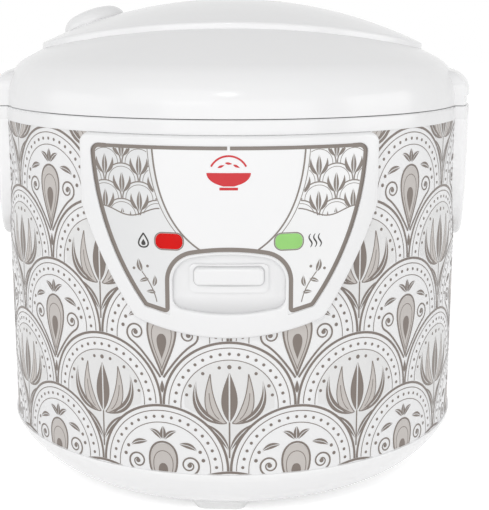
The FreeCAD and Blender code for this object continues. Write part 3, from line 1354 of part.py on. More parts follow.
# Inner pot: spun aluminium with a rolled flange, standing on the heating plate
keep("inner_pot", turned("pot_turn", [
    ("0", "hot_plate_top"),
    ("pot_radius - pot_corner_radius", "hot_plate_top", "pot_corner_radius"),
    ("pot_radius", "hot_plate_top + pot_corner_radius"),
    ("pot_radius", "pot_rim - pot_flange_sheet"),
    ("pot_flange_radius", "pot_rim - pot_flange_sheet"),
    ("pot_flange_radius", "pot_rim"),
    ("pot_radius - pot_wall", "pot_rim"),
    ("pot_radius - pot_wall", "hot_plate_top + pot_corner_radius", "-(pot_corner_radius - pot_wall)"),
    ("pot_radius - pot_corner_radius", "hot_plate_top + pot_wall"),
    ("0", "hot_plate_top + pot_wall"),
]))

# Power inlet: a flanged socket low at the back with three round contacts
inlet_flange = slab("inlet_flange", FRONT, soft_box(
    "0", "inlet_height", "inlet_half_width + inlet_flange_lip", "inlet_half_height + inlet_flange_lip",
    "inlet_corner_radius + inlet_flange_lip"), "-inlet_face", "inlet_flange_depth")
inlet_body = slab("inlet_body", FRONT, soft_box(
    "0", "inlet_height", "inlet_half_width", "inlet_half_height", "inlet_corner_radius"), "-inlet_face",
    "inlet_length")
inlet_hollow = slab("inlet_hollow", FRONT, soft_box(
    "0", "inlet_height", "inlet_half_width - inlet_wall", "inlet_half_height - inlet_wall",
    "inlet_corner_radius - inlet_wall"), "-inlet_face", "inlet_cavity")
keep("power_inlet", cut("inlet_cut", fused("inlet_whole", inlet_flange, inlet_body), inlet_hollow))
contact_places = (("-contact_pitch", "contact_rise"), ("contact_pitch", "contact_rise"), ("0", "0"))
contacts = [
    rod(f"contact{index}", "contact_radius", "contact_length", across, "inlet_face - inlet_cavity",
        f"inlet_height + {up}", "Y") for index, (across, up) in enumerate(contact_places)]
keep("inlet_contacts", group("contact_group", contacts))

doc.recompute()
failed = [thing.Name for thing in doc.Objects if {"Invalid", "Error"} & set(thing.State)]
for label, piece in PIECES.items():
    if piece.Shape.isNull() or not piece.Shape.isValid() or not piece.Shape.Solids:
        failed.append(label)
if failed:
    raise RuntimeError("These objects did not build: " + ", ".join(failed))
os.makedirs("parts", exist_ok=True)
for label, piece in PIECES.items():
    piece.Shape.exportStep(f"parts/{label}.step")
    print(f"{label}: {len(piece.Shape.Solids)} solid(s), {piece.Shape.Volume / 1000:.2f} cm3")
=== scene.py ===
"""An electric rice cooker with a hinged lid: its finishes, print and studio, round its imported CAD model."""
import json

import bmesh
import bpy
import numpy as np
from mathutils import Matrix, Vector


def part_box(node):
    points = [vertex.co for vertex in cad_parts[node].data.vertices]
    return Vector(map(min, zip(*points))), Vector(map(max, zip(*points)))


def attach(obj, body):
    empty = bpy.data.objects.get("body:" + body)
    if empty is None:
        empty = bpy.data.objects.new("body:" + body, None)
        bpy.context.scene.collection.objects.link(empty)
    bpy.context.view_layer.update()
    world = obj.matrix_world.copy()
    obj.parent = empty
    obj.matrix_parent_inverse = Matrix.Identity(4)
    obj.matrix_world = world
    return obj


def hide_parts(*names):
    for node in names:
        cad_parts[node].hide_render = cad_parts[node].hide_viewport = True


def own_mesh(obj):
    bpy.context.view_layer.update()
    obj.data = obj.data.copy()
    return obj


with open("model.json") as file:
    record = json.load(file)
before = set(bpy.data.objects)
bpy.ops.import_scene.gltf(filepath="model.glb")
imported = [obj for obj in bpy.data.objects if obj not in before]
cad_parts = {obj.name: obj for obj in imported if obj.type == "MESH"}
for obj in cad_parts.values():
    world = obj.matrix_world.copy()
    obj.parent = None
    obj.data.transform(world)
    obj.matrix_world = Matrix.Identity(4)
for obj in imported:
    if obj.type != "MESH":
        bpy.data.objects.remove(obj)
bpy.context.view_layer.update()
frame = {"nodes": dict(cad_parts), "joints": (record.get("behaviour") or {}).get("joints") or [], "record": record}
body_of = {node: body for body, nodes in frame["record"]["behaviour"]["bodies"].items() for node in nodes}

# Base cover: a bowl moulded in white polypropylene, with slots that let cooling air in.
# It pushes into the lower end of the shell, and its posts take the screws of the inner case.
WHITE = (0.875, 0.875, 0.88)
# The base cover and side grips take a brighter copy of the white plastic: painted light, making up for the weaker
# light that reaches these low parts.
PAINTED_LIGHT_WHITE = (0.94, 0.94, 0.945)
SKIN_WELD = 1e-6
SKIN_CREASE = np.radians(28.0)


def blank_finish(name):
    """A new finish: its material, its tree of nodes, its shader, and the piece's own coordinates."""
    material = bpy.data.materials.new(name)
    material.use_nodes = True
    tree = material.node_tree
    place = tree.nodes.new("ShaderNodeTexCoord")
    return material, tree, tree.nodes["Principled BSDF"], place.outputs["Object"]


def noise(tree, place, scale, detail=2.0):
    """A cloudy signal between 0 and 1, with so many clouds to the metre."""
    cloud = tree.nodes.new("ShaderNodeTexNoise")
    cloud.inputs["Scale"].default_value = scale
    cloud.inputs["Detail"].default_value = detail
    tree.links.new(place, cloud.inputs["Vector"])
    return cloud.outputs["Fac"]


def coloured(tree, shader, signal, dark, pale):
    """The colour goes in proportion from a dark to a pale one, as the signal goes from 0 to 1."""
    shade = tree.nodes.new("ShaderNodeValToRGB")
    shade.color_ramp.elements[0].color = (*dark, 1)
    shade.color_ramp.elements[1].color = (*pale, 1)
    tree.links.new(signal, shade.inputs["Fac"])
    tree.links.new(shade.outputs["Color"], shader.inputs["Base Color"])


def glossed(tree, shader, signal, low, high):
    """The roughness goes in proportion from low to high, as the signal goes from 0 to 1."""
    gloss = tree.nodes.new("ShaderNodeMapRange")
    gloss.inputs["To Min"].default_value = low
    gloss.inputs["To Max"].default_value = high
    tree.links.new(signal, gloss.inputs["Value"])
    tree.links.new(gloss.outputs["Result"], shader.inputs["Roughness"])


def rippled(tree, shader, signal, strength, height):
    """The surface seems to rise by a height as the signal goes from 0 to 1, as far as a strength allows."""
    bump = tree.nodes.new("ShaderNodeBump")
    bump.inputs["Strength"].default_value = strength
    bump.inputs["Distance"].default_value = height
    tree.links.new(signal, bump.inputs["Height"])
    tree.links.new(bump.outputs["Normal"], shader.inputs["Normal"])


def toned(colour, factor):
    """A colour with each channel times a factor, and none above 1."""
    return [min(1, channel * factor) for channel in colour]


def moulded(name, colour, roughness, ripple=0.02, cloud=0.015):
    """Moulded plastic: an even colour, faintly cloudy, with a fine ripple in its gloss and height."""
    material, tree, shader, place = blank_finish(name)
    haze = noise(tree, place, 14.0, 4.0)
    coloured(tree, shader, haze, toned(colour, 1 - cloud), toned(colour, 1 + cloud))
    glossed(tree, shader, haze, roughness * 0.8, roughness * 1.2)
    rippled(tree, shader, noise(tree, place, 420.0), ripple, 0.0004)
    return material


def set_down(mesh, material, body, weld, crease):
    """A mesh becomes a piece on a body: points within the weld join, edges past the crease stay sharp."""
    mesh.materials.clear()
    mesh.materials.append(material)
    shape = bmesh.new()
    shape.from_mesh(mesh)
    bmesh.ops.remove_doubles(shape, verts=shape.verts, dist=weld)
    for face in shape.faces:
        face.smooth = True
    for edge in shape.edges:
        edge.smooth = bool(edge.calc_face_angle(0.0) < crease)
    shape.to_mesh(mesh)
    shape.free()
    piece = bpy.data.objects.new(mesh.name, mesh)
    bpy.context.scene.collection.objects.link(piece)
    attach(piece, body)
    return piece


def skin(node, material):
    """A copy of a CAD node with its facets welded and shaded as one skin, in the node's place."""
    mesh = frame["nodes"][node].data.copy()
    mesh.name = node + "_skin"
    piece = set_down(mesh, material, body_of[node], SKIN_WELD, SKIN_CREASE)
    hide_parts(node)
    return piece


white_gloss = moulded("white_gloss", WHITE, 0.18)
white_with_painted_light = moulded("white_with_painted_light", PAINTED_LIGHT_WHITE, 0.2)
skin("base_cover", white_with_painted_light)

# Feet: four pads of pale grey thermoplastic rubber, glued into the underside of the bowl.
# Their surface is spark eroded in the mould, so it is matt and slightly grainy.
foot_rubber = moulded("foot_rubber", (0.91, 0.91, 0.91), 0.62, ripple=0.35, cloud=0.03)
for node in ("foot_front", "foot_right", "foot_back", "foot_left"):
    skin(node, foot_rubber)

# Body shell: steel sheet with white enamel, printed in the flat and then rolled and seamed into a tube.
# The print is a traditional clamshell pattern with a tulip in one row and a scrolled drop in the next.
# It is drawn in millimetres, from the middle of a scale's foot line.
shell_low, shell_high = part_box("body_shell")
SHELL_RADIUS = shell_high[0]
SHELL_BOTTOM = shell_low[2]
SHELL_TOP = shell_high[2]
SHEET_MARGIN = 0.0002
PANEL_LEVELS = (0.106, 0.112, 0.115, 0.140, 0.168, 0.203)
PANEL_HALVES = (0.0, 0.042, 0.0445, 0.0585, 0.070, 0.070)
INLET_LAP = 0.001
inlet_low, inlet_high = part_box("power_inlet")
INLET_LEVEL = (inlet_low[2] + inlet_high[2]) / 2
INLET_HALF_WIDTH = inlet_high[0] - INLET_LAP
INLET_HALF_HEIGHT = inlet_high[2] - INLET_LEVEL - INLET_LAP
TILES_ROUND = 12
SCALE_RADIUS = np.pi * SHELL_RADIUS / TILES_ROUND
TULIP_ROW = 0.068
LINE_LIFT = 0.00009
TINT_LIFT = 0.00006
WASH_LIFT = 0.00004
PRINT_WELD = 2e-7
ALL_SMOOTH = 2 * np.pi
MM = 0.001
INK = (0.205, 0.171, 0.150)
PALE_INK = (0.56, 0.525, 0.50)
WASH = (0.78, 0.778, 0.775)
skin("body_shell", moulded("shell_enamel", (0.86, 0.86, 0.865), 0.26, ripple=0.012))


def ribbon(path, width, columns=2, vein=0.0):
    """A line or leaf: each point of a path spreads to both sides, square to the path, by half a width.

    A vein leaves a bare strip along the middle, and the two halves then come as two grids."""
    way = np.gradient(path, axis=0)
    side = np.stack([-way[:, 1], way[:, 0]], axis=1) / np.linalg.norm(way, axis=1, keepdims=True)
    half = np.broadcast_to(np.asarray(width, float) / 2, len(path))[:, None]
    if vein == 0:
        reach = half * np.linspace(-1, 1, columns)
        return [path[:, None] + side[:, None] * reach[..., None]]
    bare = np.minimum(vein / 2, half)
    reach = bare + (half - bare) * np.linspace(0, 1, columns)
    return [path[:, None] + side[:, None] * reach[..., None],
            path[:, None] - side[:, None] * reach[:, ::-1, None]]


def bow(start, pull, end, count=17):
    """Points along a quadratic curve from a start to an end that is pulled towards a third point."""
    step = np.linspace(0, 1, count)[:, None]
    bend = 2 * step * (1 - step) * np.array(pull)
    return (1 - step) ** 2 * np.array(start) + bend + step ** 2 * np.array(end)


def arc(middle, radius, first, last, count=49):
    """Points on a circle about a middle, between two angles in degrees; the radius may vary along it."""
    turn = np.radians(np.linspace(first, last, count))
    return np.array(middle) + np.stack([np.cos(turn), np.sin(turn)], axis=1) * np.reshape(radius, (-1, 1))


def leaf(start, pull, end, width, vein=0.0, columns=3):
    """A leaf that swells from a point and closes to a point along a pulled curve: its width is a sine."""
    swell = np.sin(np.pi * np.linspace(0, 1, 17) ** 0.85) + 0.02
    return ribbon(bow(start, pull, end), width * swell, columns, vein)


def leaf_edge(start, pull, end, width, line):
    """The outline of such a leaf: a thin line along each of its two edges."""
    grid = leaf(start, pull, end, width)[0]
    return ribbon(grid[:, 0], line) + ribbon(grid[:, -1], line)


def dot(middle, radius):
    """A round dot, as a short upright strip whose width is that of the circle."""
    turn = np.linspace(0.05, np.pi - 0.05, 9)
    path = np.array(middle) + np.stack([0 * turn, -np.cos(turn) * radius], axis=1)
    return ribbon(path, 2 * radius * np.sin(turn), 3)


def both_sides(grids):
    """Grids together with their mirror image across the middle line, facing the same way."""
    return grids + [grid[:, ::-1] * np.array([-1.0, 1.0]) for grid in grids]


def quads(grids):
    """The four corners of each cell of some grids, anticlockwise, as one array."""
    return np.concatenate([
        np.stack([grid[:-1, :-1], grid[1:, :-1], grid[1:, 1:], grid[:-1, 1:]], axis=2).reshape(-1, 4, 2)
        for grid in grids])


def teardrop(width, height, middle, count=49):
    """An upright drop, pointed below: across it is sin(t) * sin(t / 2) ** 1.5, and up it is -cos(t)."""
    turn = np.linspace(0, 2 * np.pi, count)
    across = width * np.sin(turn) * np.abs(np.sin(turn / 2)) ** 1.5
    return np.stack([across, middle - height * np.cos(turn)], axis=1)


def filled_drop(width, height, middle):
    """The same drop as a solid: an upright strip as wide as the drop is at each height."""
    edge = teardrop(width, height, middle)[1:24]
    return ribbon(np.stack([0 * edge[:, 0], edge[:, 1]], axis=1), 2 * edge[:, 0], 7)


# One scale: three lines round its arch, and a row of beads between them.
scale_lines = ribbon(arc((0, 0), 33.3, 0, 180, 65), 1.25)
scale_lines += ribbon(arc((0, 0), 30.6, 0, 180, 65), 0.45)
scale_lines += ribbon(arc((0, 0), 24.4, -3, 183, 65), 0.4)
for bead in arc((0, 0), 27.5, 4, 176, 19):
    scale_lines += dot(bead, 0.8)

# A tulip stands in the scales of one row, on a stem with two leaves.
inner_petal = ((1.4, -8.5), (12.5, -5.0), (9.5, 17.0), 5.6)
tulip_tint = both_sides(leaf(*inner_petal))
tulip_lines = leaf((0, -8), (0, 4), (0, 18), 8.0, vein=0.8)
tulip_lines += both_sides(leaf_edge(*inner_petal, 0.5) + ribbon(bow(*inner_petal[:3])[3:-4], 0.4))
tulip_lines += both_sides(leaf((2.4, -9.0), (20.5, -5), (16.5, 13.5), 3.9, vein=0.5))
tulip_lines += ribbon(bow((0, -27), (0, -18), (0, -8)), 0.8)
tulip_lines += both_sides(leaf((0.3, -23), (4.5, -13), (13.8, -8.4), 3.0, vein=0.5))
tulip_lines += dot((0, 20.8), 1.1) + both_sides(dot((5.0, 20.4), 0.85) + dot((13.2, 17.2), 0.85))
tulip_lines += both_sides(dot((19.6, 10.6), 0.9) + dot((21.4, 5.8), 0.8))

# A drop between two scrolls fills the scales of the next row.
drop_tint = filled_drop(9.8, 15.8, -2.5)
drop_lines = ribbon(teardrop(10.5, 16.5, -2.5), 1.0)
drop_lines += ribbon(teardrop(7.4, 12.4, -3.2), 0.4)
drop_lines += filled_drop(3.6, 6.6, -4.0)
SCROLL_EYE = (13.8, 2.4)
scroll_radius = 5.2 * (1 - 0.78 * np.linspace(0, 1, 41))
scroll = np.concatenate([bow((0.8, -20), (9.9, -6.0), (16.4, -2.1), 15)[:-1],
                         arc(SCROLL_EYE, scroll_radius, -60, 470, 41)])
drop_lines += both_sides(ribbon(scroll, np.linspace(1.1, 0.6, len(scroll))))
drop_lines += both_sides(dot(SCROLL_EYE, 1.2) + dot((20.8, 5.4), 0.95) + dot((19.2, 9.8), 0.9))
drop_lines += both_sides(leaf((8.5, 13.4), (14.5, 13.5), (17.6, 10.2), 2.8, vein=0.4))
drop_lines += leaf((0, 15.6), (0, 19), (0, 22.6), 3.0, vein=0.4)
drop_lines += both_sides(leaf((0.9, 15.4), (3.0, 19.6), (7.4, 20.2), 2.5, vein=0.4))
drop_lines += leaf((0, -28), (0, -25), (0, -21.5), 2.0)

# A wash tints the ground of a tulip's scale, down to the two scales below it.
HALF_TILE = 34.03
GROUND_RADIUS = 24.2
GROUND_MARGIN = 1.2
across = np.linspace(-22.5, 22.5, 31)
foot_line = -HALF_TILE + np.sqrt(HALF_TILE ** 2 - (HALF_TILE - np.abs(across)) ** 2) + GROUND_MARGIN
head_line = np.sqrt(GROUND_RADIUS ** 2 - across ** 2)
ground_level = foot_line + np.linspace(0, 1, 13)[:, None] * (head_line - foot_line)
scale_ground = np.stack([np.broadcast_to(across, ground_level.shape), ground_level], axis=2)[:, ::-1]


def round_the_shell(tile, row_start, row_step, rows, shift):
    """A tile's cells repeated round the shell and up it, in metres, less those outside the sheet."""
    around = (np.arange(TILES_ROUND) - TILES_ROUND / 2) * 2 * SCALE_RADIUS + shift
    up = row_start + row_step * np.arange(rows)
    places = np.stack(np.meshgrid(around, up), axis=2).reshape(-1, 1, 1, 2)
    cells = (tile[None] * MM + places).reshape(-1, 4, 2)
    cells[..., 1] = np.clip(cells[..., 1], SHELL_BOTTOM + SHEET_MARGIN, SHELL_TOP - SHEET_MARGIN)
    middle = cells.mean(axis=1)
    across = np.abs(SHELL_RADIUS * np.sin(middle[:, 0] / SHELL_RADIUS))
    back = np.abs(middle[:, 0]) > SHELL_RADIUS * np.pi / 2
    under_panel = ~back & (across < np.interp(middle[:, 1], PANEL_LEVELS, PANEL_HALVES))
    beside_inlet = np.abs(middle[:, 1] - INLET_LEVEL) < INLET_HALF_HEIGHT
    under_inlet = back & (across < INLET_HALF_WIDTH) & beside_inlet
    return cells[(np.ptp(cells[..., 1], axis=1) > 1e-6) & ~under_panel & ~under_inlet]


def print_or_painted_shadow(name, cells, place, ink_or_painted_shadow, body):
    """Ink, or a painted shadow line, on a surface: cells of a flat drawing, set down in space by a function,
    welded into one mesh.
    """
    points = place(cells.reshape(-1, 2))
    mesh = bpy.data.meshes.new(name)
    mesh.from_pydata(points.tolist(), [], np.arange(len(points)).reshape(-1, 4).tolist())
    set_down(mesh, ink_or_painted_shadow, body, PRINT_WELD, ALL_SMOOTH)


def on_shell(lift):
    """Wrap a flat drawing round the shell, a little proud: the angle is the way along over the radius."""
    def wrap(flat):
        turn = flat[:, 0] / SHELL_RADIUS
        radius = SHELL_RADIUS + lift
        return np.stack([radius * np.sin(turn), -radius * np.cos(turn), flat[:, 1]], axis=1)
    return wrap


TULIP_ROWS = (TULIP_ROW - 2 * SCALE_RADIUS, 2 * SCALE_RADIUS, 5, 0.0)
DROP_ROWS = (TULIP_ROW - 3 * SCALE_RADIUS, 2 * SCALE_RADIUS, 5, SCALE_RADIUS)
line_cells = np.concatenate([round_the_shell(quads(scale_lines + tulip_lines), *TULIP_ROWS),
                             round_the_shell(quads(scale_lines + drop_lines), *DROP_ROWS)])
tint_cells = np.concatenate([round_the_shell(quads(tulip_tint), *TULIP_ROWS),
                             round_the_shell(quads(drop_tint), *DROP_ROWS)])
wash_cells = round_the_shell(quads([scale_ground]), *TULIP_ROWS)
shell_ink = moulded("shell_ink", INK, 0.34, ripple=0.03, cloud=0.10)
shell_pale_ink = moulded("shell_pale_ink", PALE_INK, 0.34, ripple=0.03, cloud=0.08)
shell_wash = moulded("shell_wash", WASH, 0.28, ripple=0.012, cloud=0.03)
print_or_painted_shadow("shell_print", line_cells, on_shell(LINE_LIFT), shell_ink, "cooker_body")
print_or_painted_shadow("shell_tint", tint_cells, on_shell(TINT_LIFT), shell_pale_ink, "cooker_body")
print_or_painted_shadow("shell_ground", wash_cells, on_shell(WASH_LIFT), shell_wash, "cooker_body")

# Collar ring and side grips: white polypropylene, snapped over the shell's upper edge.
# The grips hang from the collar's two ear blocks, and a finger fits under them.
skin("collar_ring", white_gloss)
# The grips take the brighter white, which is painted light.
for node in ("side_grip_left", "side_grip_right"):
    skin(node, white_with_painted_light)

# Inner works: an inner case and small parts in zinc plated steel, and a cast aluminium heating plate with
# its sheathed element, a mica warming band and a sprung magnetic thermostat.
# Screws hold them under the collar, and the lever's strip, rocker and rod run below the plate.


def metal(name, colour, roughness, stretch, depth):
    """Bare metal: fine lines of the mill, lathe or die, as noise drawn out along the axes by a stretch."""
    material, tree, shader, place = blank_finish(name)
    shader.inputs["Metallic"].default_value = 1.0
    draw = tree.nodes.new("ShaderNodeMapping")
    draw.inputs["Scale"].default_value = stretch
    tree.links.new(place, draw.inputs["Vector"])
    lines = noise(tree, draw.outputs["Vector"], 60.0, 5.0)
    coloured(tree, shader, lines, toned(colour, 0.86), toned(colour, 1.08))
    glossed(tree, shader, lines, roughness * 0.75, roughness * 1.3)
    rippled(tree, shader, lines, depth, 0.0003)
    return material


joint_of = {joint["name"]: joint for joint in frame["joints"]}
plated_steel = metal("plated_steel", (0.55, 0.55, 0.56), 0.32, (1, 1, 14), 0.06)
cast_aluminium = metal("cast_aluminium", (0.66, 0.66, 0.67), 0.42, (6, 6, 6), 0.25)
heater_sheath = metal("heater_sheath", (0.30, 0.29, 0.28), 0.5, (4, 4, 4), 0.15)
dark_ferrite = moulded("dark_ferrite", (0.045, 0.045, 0.047), 0.55, ripple=0.3, cloud=0.2)
mica_sheet = moulded("mica_sheet", (0.55, 0.47, 0.34), 0.5, ripple=0.12, cloud=0.18)
black_plastic = moulded("black_plastic", (0.028, 0.028, 0.03), 0.42, ripple=0.15, cloud=0.12)
for node in ("inner_case", "case_screws", "lever_strip", "rocker", "rocker_pin", "rocker_bracket",
             "thermostat_holder", "magnet_rod"):
    skin(node, plated_steel)
for node, joint in (("lever_spring", "cook_lever_press"), ("thermostat_spring", "thermostat_press")):
    coil = skin(node, plated_steel)
    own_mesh(coil)
for node in ("heating_plate", "thermostat_cap"):
    skin(node, cast_aluminium)
skin("heater_tube", heater_sheath)
skin("warm_heater", mica_sheet)
for node in ("magnet", "ferrite_disc"):
    skin(node, dark_ferrite)
for node in ("micro_switch", "thermal_fuse"):
    skin(node, black_plastic)

# Inner pot: an aluminium disc spun into a pot with a turned flange, sandblasted and anodised.
# Its inside keeps the fine rings of the spinning tool.
spun_aluminium = metal("spun_aluminium", (0.68, 0.68, 0.69), 0.34, (1, 1, 30), 0.05)
skin("inner_pot", spun_aluminium)

# Front panel: a white frame moulded to wrap the shell, which clips into it from outside.
# A printed film of pale polycarbonate lies in its recess, and the two lenses stand through the film.
# The film is drawn in millimetres as seen from the front: across from its middle, and up from the floor.
film_low, film_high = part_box("panel_inlay")
FILM_RADIUS = -film_low[1]
FILM_HALF = film_high[0] / MM
FILM_TOP = film_high[2] / MM
FILM_CORNER_RADIUS = 4.5
FILM_CORNER = (FILM_HALF - FILM_CORNER_RADIUS, FILM_TOP - FILM_CORNER_RADIUS)
FILM_SIDE = (-72.44, 200.84)
FILM_SIDE_RADIUS = 140.0
FILM_INK = (0.235, 0.203, 0.180)
INK_LIFT = 0.00008
SIGN_LIFT = 0.00006
SCREEN_LIFT = 0.00004
ARCH_HALF = 28.7
ARCH_HEAD = (0, 50.0)
ARCH_HEAD_RADIUS = 97.4
ARCH_SHOULDER_RADIUS = 13.4
ARCH_SHOULDER = (ARCH_HALF - ARCH_SHOULDER_RADIUS, 132.6)
BORDER_INSET = 1.3
BORDER_WIDTH = 2.1
RAIL_WIDTH = 1.75
RAIL_POINTS = 41
SHELF = 166.0
SHELF_SWING = 2.0
SHELF_START = 33.2
SHELF_LENGTH = 29.0
skin("front_panel", white_gloss)
skin("panel_inlay", moulded("panel_film", (0.90, 0.90, 0.905), 0.22, ripple=0.008))


def on_film(lift, radius=FILM_RADIUS):
    """Set a front view down on a cylinder: depth squared is the radius squared less the side squared."""
    def press(flat):
        reach = radius + lift
        return np.stack([flat[:, 0], -np.sqrt(reach ** 2 - flat[:, 0] ** 2), flat[:, 1]], axis=1)
    return press


# The border is drawn for the right half: over the arch, down its leg, up the side and along the top.
leg = ARCH_HALF + BORDER_INSET
rail = FILM_TOP - BORDER_INSET
border = np.concatenate([
    arc(ARCH_HEAD, ARCH_HEAD_RADIUS + BORDER_INSET, 90, 79.5, 19),
    arc(ARCH_SHOULDER, ARCH_SHOULDER_RADIUS + BORDER_INSET, 78, 0, 25),
    bow((leg, 131.6), (leg, 125), (leg, 119.6), 9),
    arc((leg + 1.1, 118.96), 1.1, 180, 285, 9),
    bow((32.3, 118.14), (35.7, 119.05), (39.1, 119.96), 9),
    arc((39.77, 121.38), 1.2, -75, -36, 7),
    arc(FILM_SIDE, FILM_SIDE_RADIUS - BORDER_INSET, -34.6, -2.8, 41),
    arc(FILM_CORNER, FILM_CORNER_RADIUS - BORDER_INSET, 4, 90, 13),
    bow((61.9, rail), (30, rail), (0.65, rail), RAIL_POINTS),
])
on_rail = np.arange(len(border)) > len(border) - RAIL_POINTS + 1
film_lines = both_sides(ribbon(border, np.where(on_rail, RAIL_WIDTH, BORDER_WIDTH)))

# A curved line bounds the middle field, and a sprig stands beside the arch.
field_edge = bow((36.5, rail), (34.5, 161.0), (12.6, 147.6), 41)
film_lines += both_sides(ribbon(field_edge, 0.8))
film_lines += both_sides(ribbon(field_edge[:30] + np.array([2.3, 0.0]), 0.35))
film_lines += both_sides(ribbon(bow((35.2, 121.8), (36.5, 129), (42.4, 136.5), 21), 0.5))
film_lines += both_sides(leaf((42.4, 136.5), (44.2, 139.5), (44.0, 143.0), 2.6, vein=0.35))
film_lines += both_sides(leaf((35.8, 126.2), (37.6, 127.4), (40.6, 126.6), 1.9, vein=0.3))
film_lines += both_sides(leaf((37.0, 129.5), (35.4, 132.0), (36.2, 135.2), 2.1, vein=0.3))
film_lines += both_sides(leaf((38.9, 133.0), (41.6, 133.0), (43.8, 131.2), 1.9, vein=0.3))
film_lines += both_sides(dot((46.4, 138.0), 0.7) + dot((39.6, 139.4), 0.7))


def film_side(level):
    """How far the inner edge of the border lies from the middle of the film, at a height on its circle."""
    reach = FILM_SIDE_RADIUS - BORDER_INSET - BORDER_WIDTH / 2
    return FILM_SIDE[0] + np.sqrt(reach ** 2 - (level - FILM_SIDE[1]) ** 2)


def field_side(level):
    """How far the curved line beside the middle field lies from the middle of the film, at a height."""
    return np.interp(level, field_edge[::-1, 1], field_edge[::-1, 0])


def shelf_level(way_out):
    """The lower edge of the small scales: one wave of a cosine on the way out to the border."""
    return SHELF + SHELF_SWING * np.cos(way_out * 2 * np.pi)


# Small scales fill the two upper corners, down to a wavy shelf.
SMALL_SCALE = 8.6
SMALL_FOOT = 163.6
small_scale = ribbon(arc((0, 0), 8.25, 0, 180, 41), 0.6) + ribbon(arc((0, 0), 6.7, -4, 184, 33), 0.3)
small_scale += leaf((0, -6.0), (0, -1), (0, 4.2), 2.6, vein=0.35)
small_scale += both_sides(leaf((0.5, -5.6), (4.6, -2.6), (4.0, 2.4), 1.7))
column, row = np.meshgrid(np.arange(-9, 10), np.arange(0, 6))
places = np.stack([(column + 0.5 * (row % 2)) * 2 * SMALL_SCALE, SMALL_FOOT + row * SMALL_SCALE], axis=2)
field_cells = (quads(small_scale)[None] + places.reshape(-1, 1, 1, 2)).reshape(-1, 4, 2)
cell_side, cell_level = np.abs(field_cells.mean(axis=1)).T
inner_edge = field_side(cell_level) + 2.8
way_out = (cell_side - inner_edge) / np.maximum(film_side(cell_level) - inner_edge, 1)
in_height = (cell_level < rail - 1.0) & (cell_level > shelf_level(way_out))
in_field = (way_out > 0) & (way_out < 1) & in_height
along = np.linspace(0, 1, 33)
shelf_path = np.stack([SHELF_START + along * SHELF_LENGTH, shelf_level(along)], axis=1)
film_lines += both_sides(ribbon(shelf_path, 0.6))
film_ink = moulded("film_ink", FILM_INK, 0.3, ripple=0.02, cloud=0.06)
film_cells = np.concatenate([quads(film_lines), field_cells[in_field]]) * MM
print_or_painted_shadow("panel_print", film_cells, on_film(INK_LIFT), film_ink, "cooker_body")

# Tint on the film: a grey screen over its two side fields, denser at the left, printed under the lines.
# The middle field between the two curved lines stays the white of the film.


def faded(name, dark, pale, way, start, end):
    """A finish whose colour goes from dark to pale with the distance along one axis, between two places."""
    material, tree, shader, place = blank_finish(name)
    parts = tree.nodes.new("ShaderNodeSeparateXYZ")
    spread = tree.nodes.new("ShaderNodeMapRange")
    spread.inputs["From Min"].default_value = start
    spread.inputs["From Max"].default_value = end
    tree.links.new(place, parts.inputs["Vector"])
    tree.links.new(parts.outputs[way], spread.inputs["Value"])
    coloured(tree, shader, spread.outputs["Result"], dark, pale)
    glossed(tree, shader, noise(tree, place, 300.0), 0.20, 0.28)
    return material


def arch_side(level):
    """How far the arch's edge lies from the middle at a height: a straight leg, then the round shoulder."""
    above = np.clip(level - ARCH_SHOULDER[1], 0, None)
    reach = np.sqrt(np.clip(ARCH_SHOULDER_RADIUS ** 2 - above ** 2, 0, None))
    return np.where(level < ARCH_SHOULDER[1], ARCH_HALF, ARCH_SHOULDER[0] + reach)


TINT_FOOT = 119.5
TINT_STEP = 145.7
TINT_FADE = 0.062
level = np.concatenate([np.linspace(TINT_FOOT, TINT_STEP - 0.3, 40),
                        np.linspace(TINT_STEP + 0.3, FILM_TOP - 0.6, 60)])
near_side = np.where(level < TINT_STEP, arch_side(level) + 0.4, field_side(level))[:, None]
tint_side = near_side + np.linspace(0, 1, 25) * (film_side(level)[:, None] - near_side)
tint_field = np.stack([tint_side, np.broadcast_to(level[:, None], tint_side.shape)], axis=2)[:, ::-1]
screen_cells = quads(both_sides([tint_field])) * MM
film_tint = faded("film_tint", (0.76, 0.765, 0.77), (0.91, 0.91, 0.912), "X", -TINT_FADE, TINT_FADE)
print_or_painted_shadow("panel_tint", screen_cells, on_film(SCREEN_LIFT), film_tint, "cooker_body")

# Signs on the film: a rice bowl in red, and beside the lenses a flame for cooking and steam for warming.
# They are screen printed on the film with the rest, as are the thin lines round the two lenses.
BOWL_FOOT = 178.0
BOWL_WIDTH = 21.0
GRAIN_REACH = 1.7
SIGN_LINE = 0.75
lens_low, lens_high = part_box("warm_lens")
LENS_HALF_WIDTH = (lens_high[0] - lens_low[0]) / 2 / MM
LENS_HALF_HEIGHT = (lens_high[2] - lens_low[2]) / 2 / MM
LENS_SIDE = lens_high[0] / MM - LENS_HALF_WIDTH
SIGN_LEVEL = lens_high[2] / MM - LENS_HALF_HEIGHT
LENS_LINE_GAP = 0.4
LENS_LINE_RADIUS = 3.7
FLAME_SIDE = -41.4
STEAM_SIDE = 41.6
STEAM_FOOT = 148.8
rise = np.linspace(0, 1, 13)
bowl_path = np.stack([0 * rise, BOWL_FOOT + 1.2 + 6.4 * rise], axis=1)
bowl_sign = ribbon(bowl_path, BOWL_WIDTH * np.sqrt(np.clip(1 - (1 - rise) ** 2, 0.06, 1)), 9)
bowl_sign += ribbon(bow((-4.4, BOWL_FOOT), (0, BOWL_FOOT), (4.4, BOWL_FOOT), 9), 1.3)
bowl_sign += ribbon(arc((0, BOWL_FOOT + 6.2), 9.4, 152, 28, 25), 0.9)
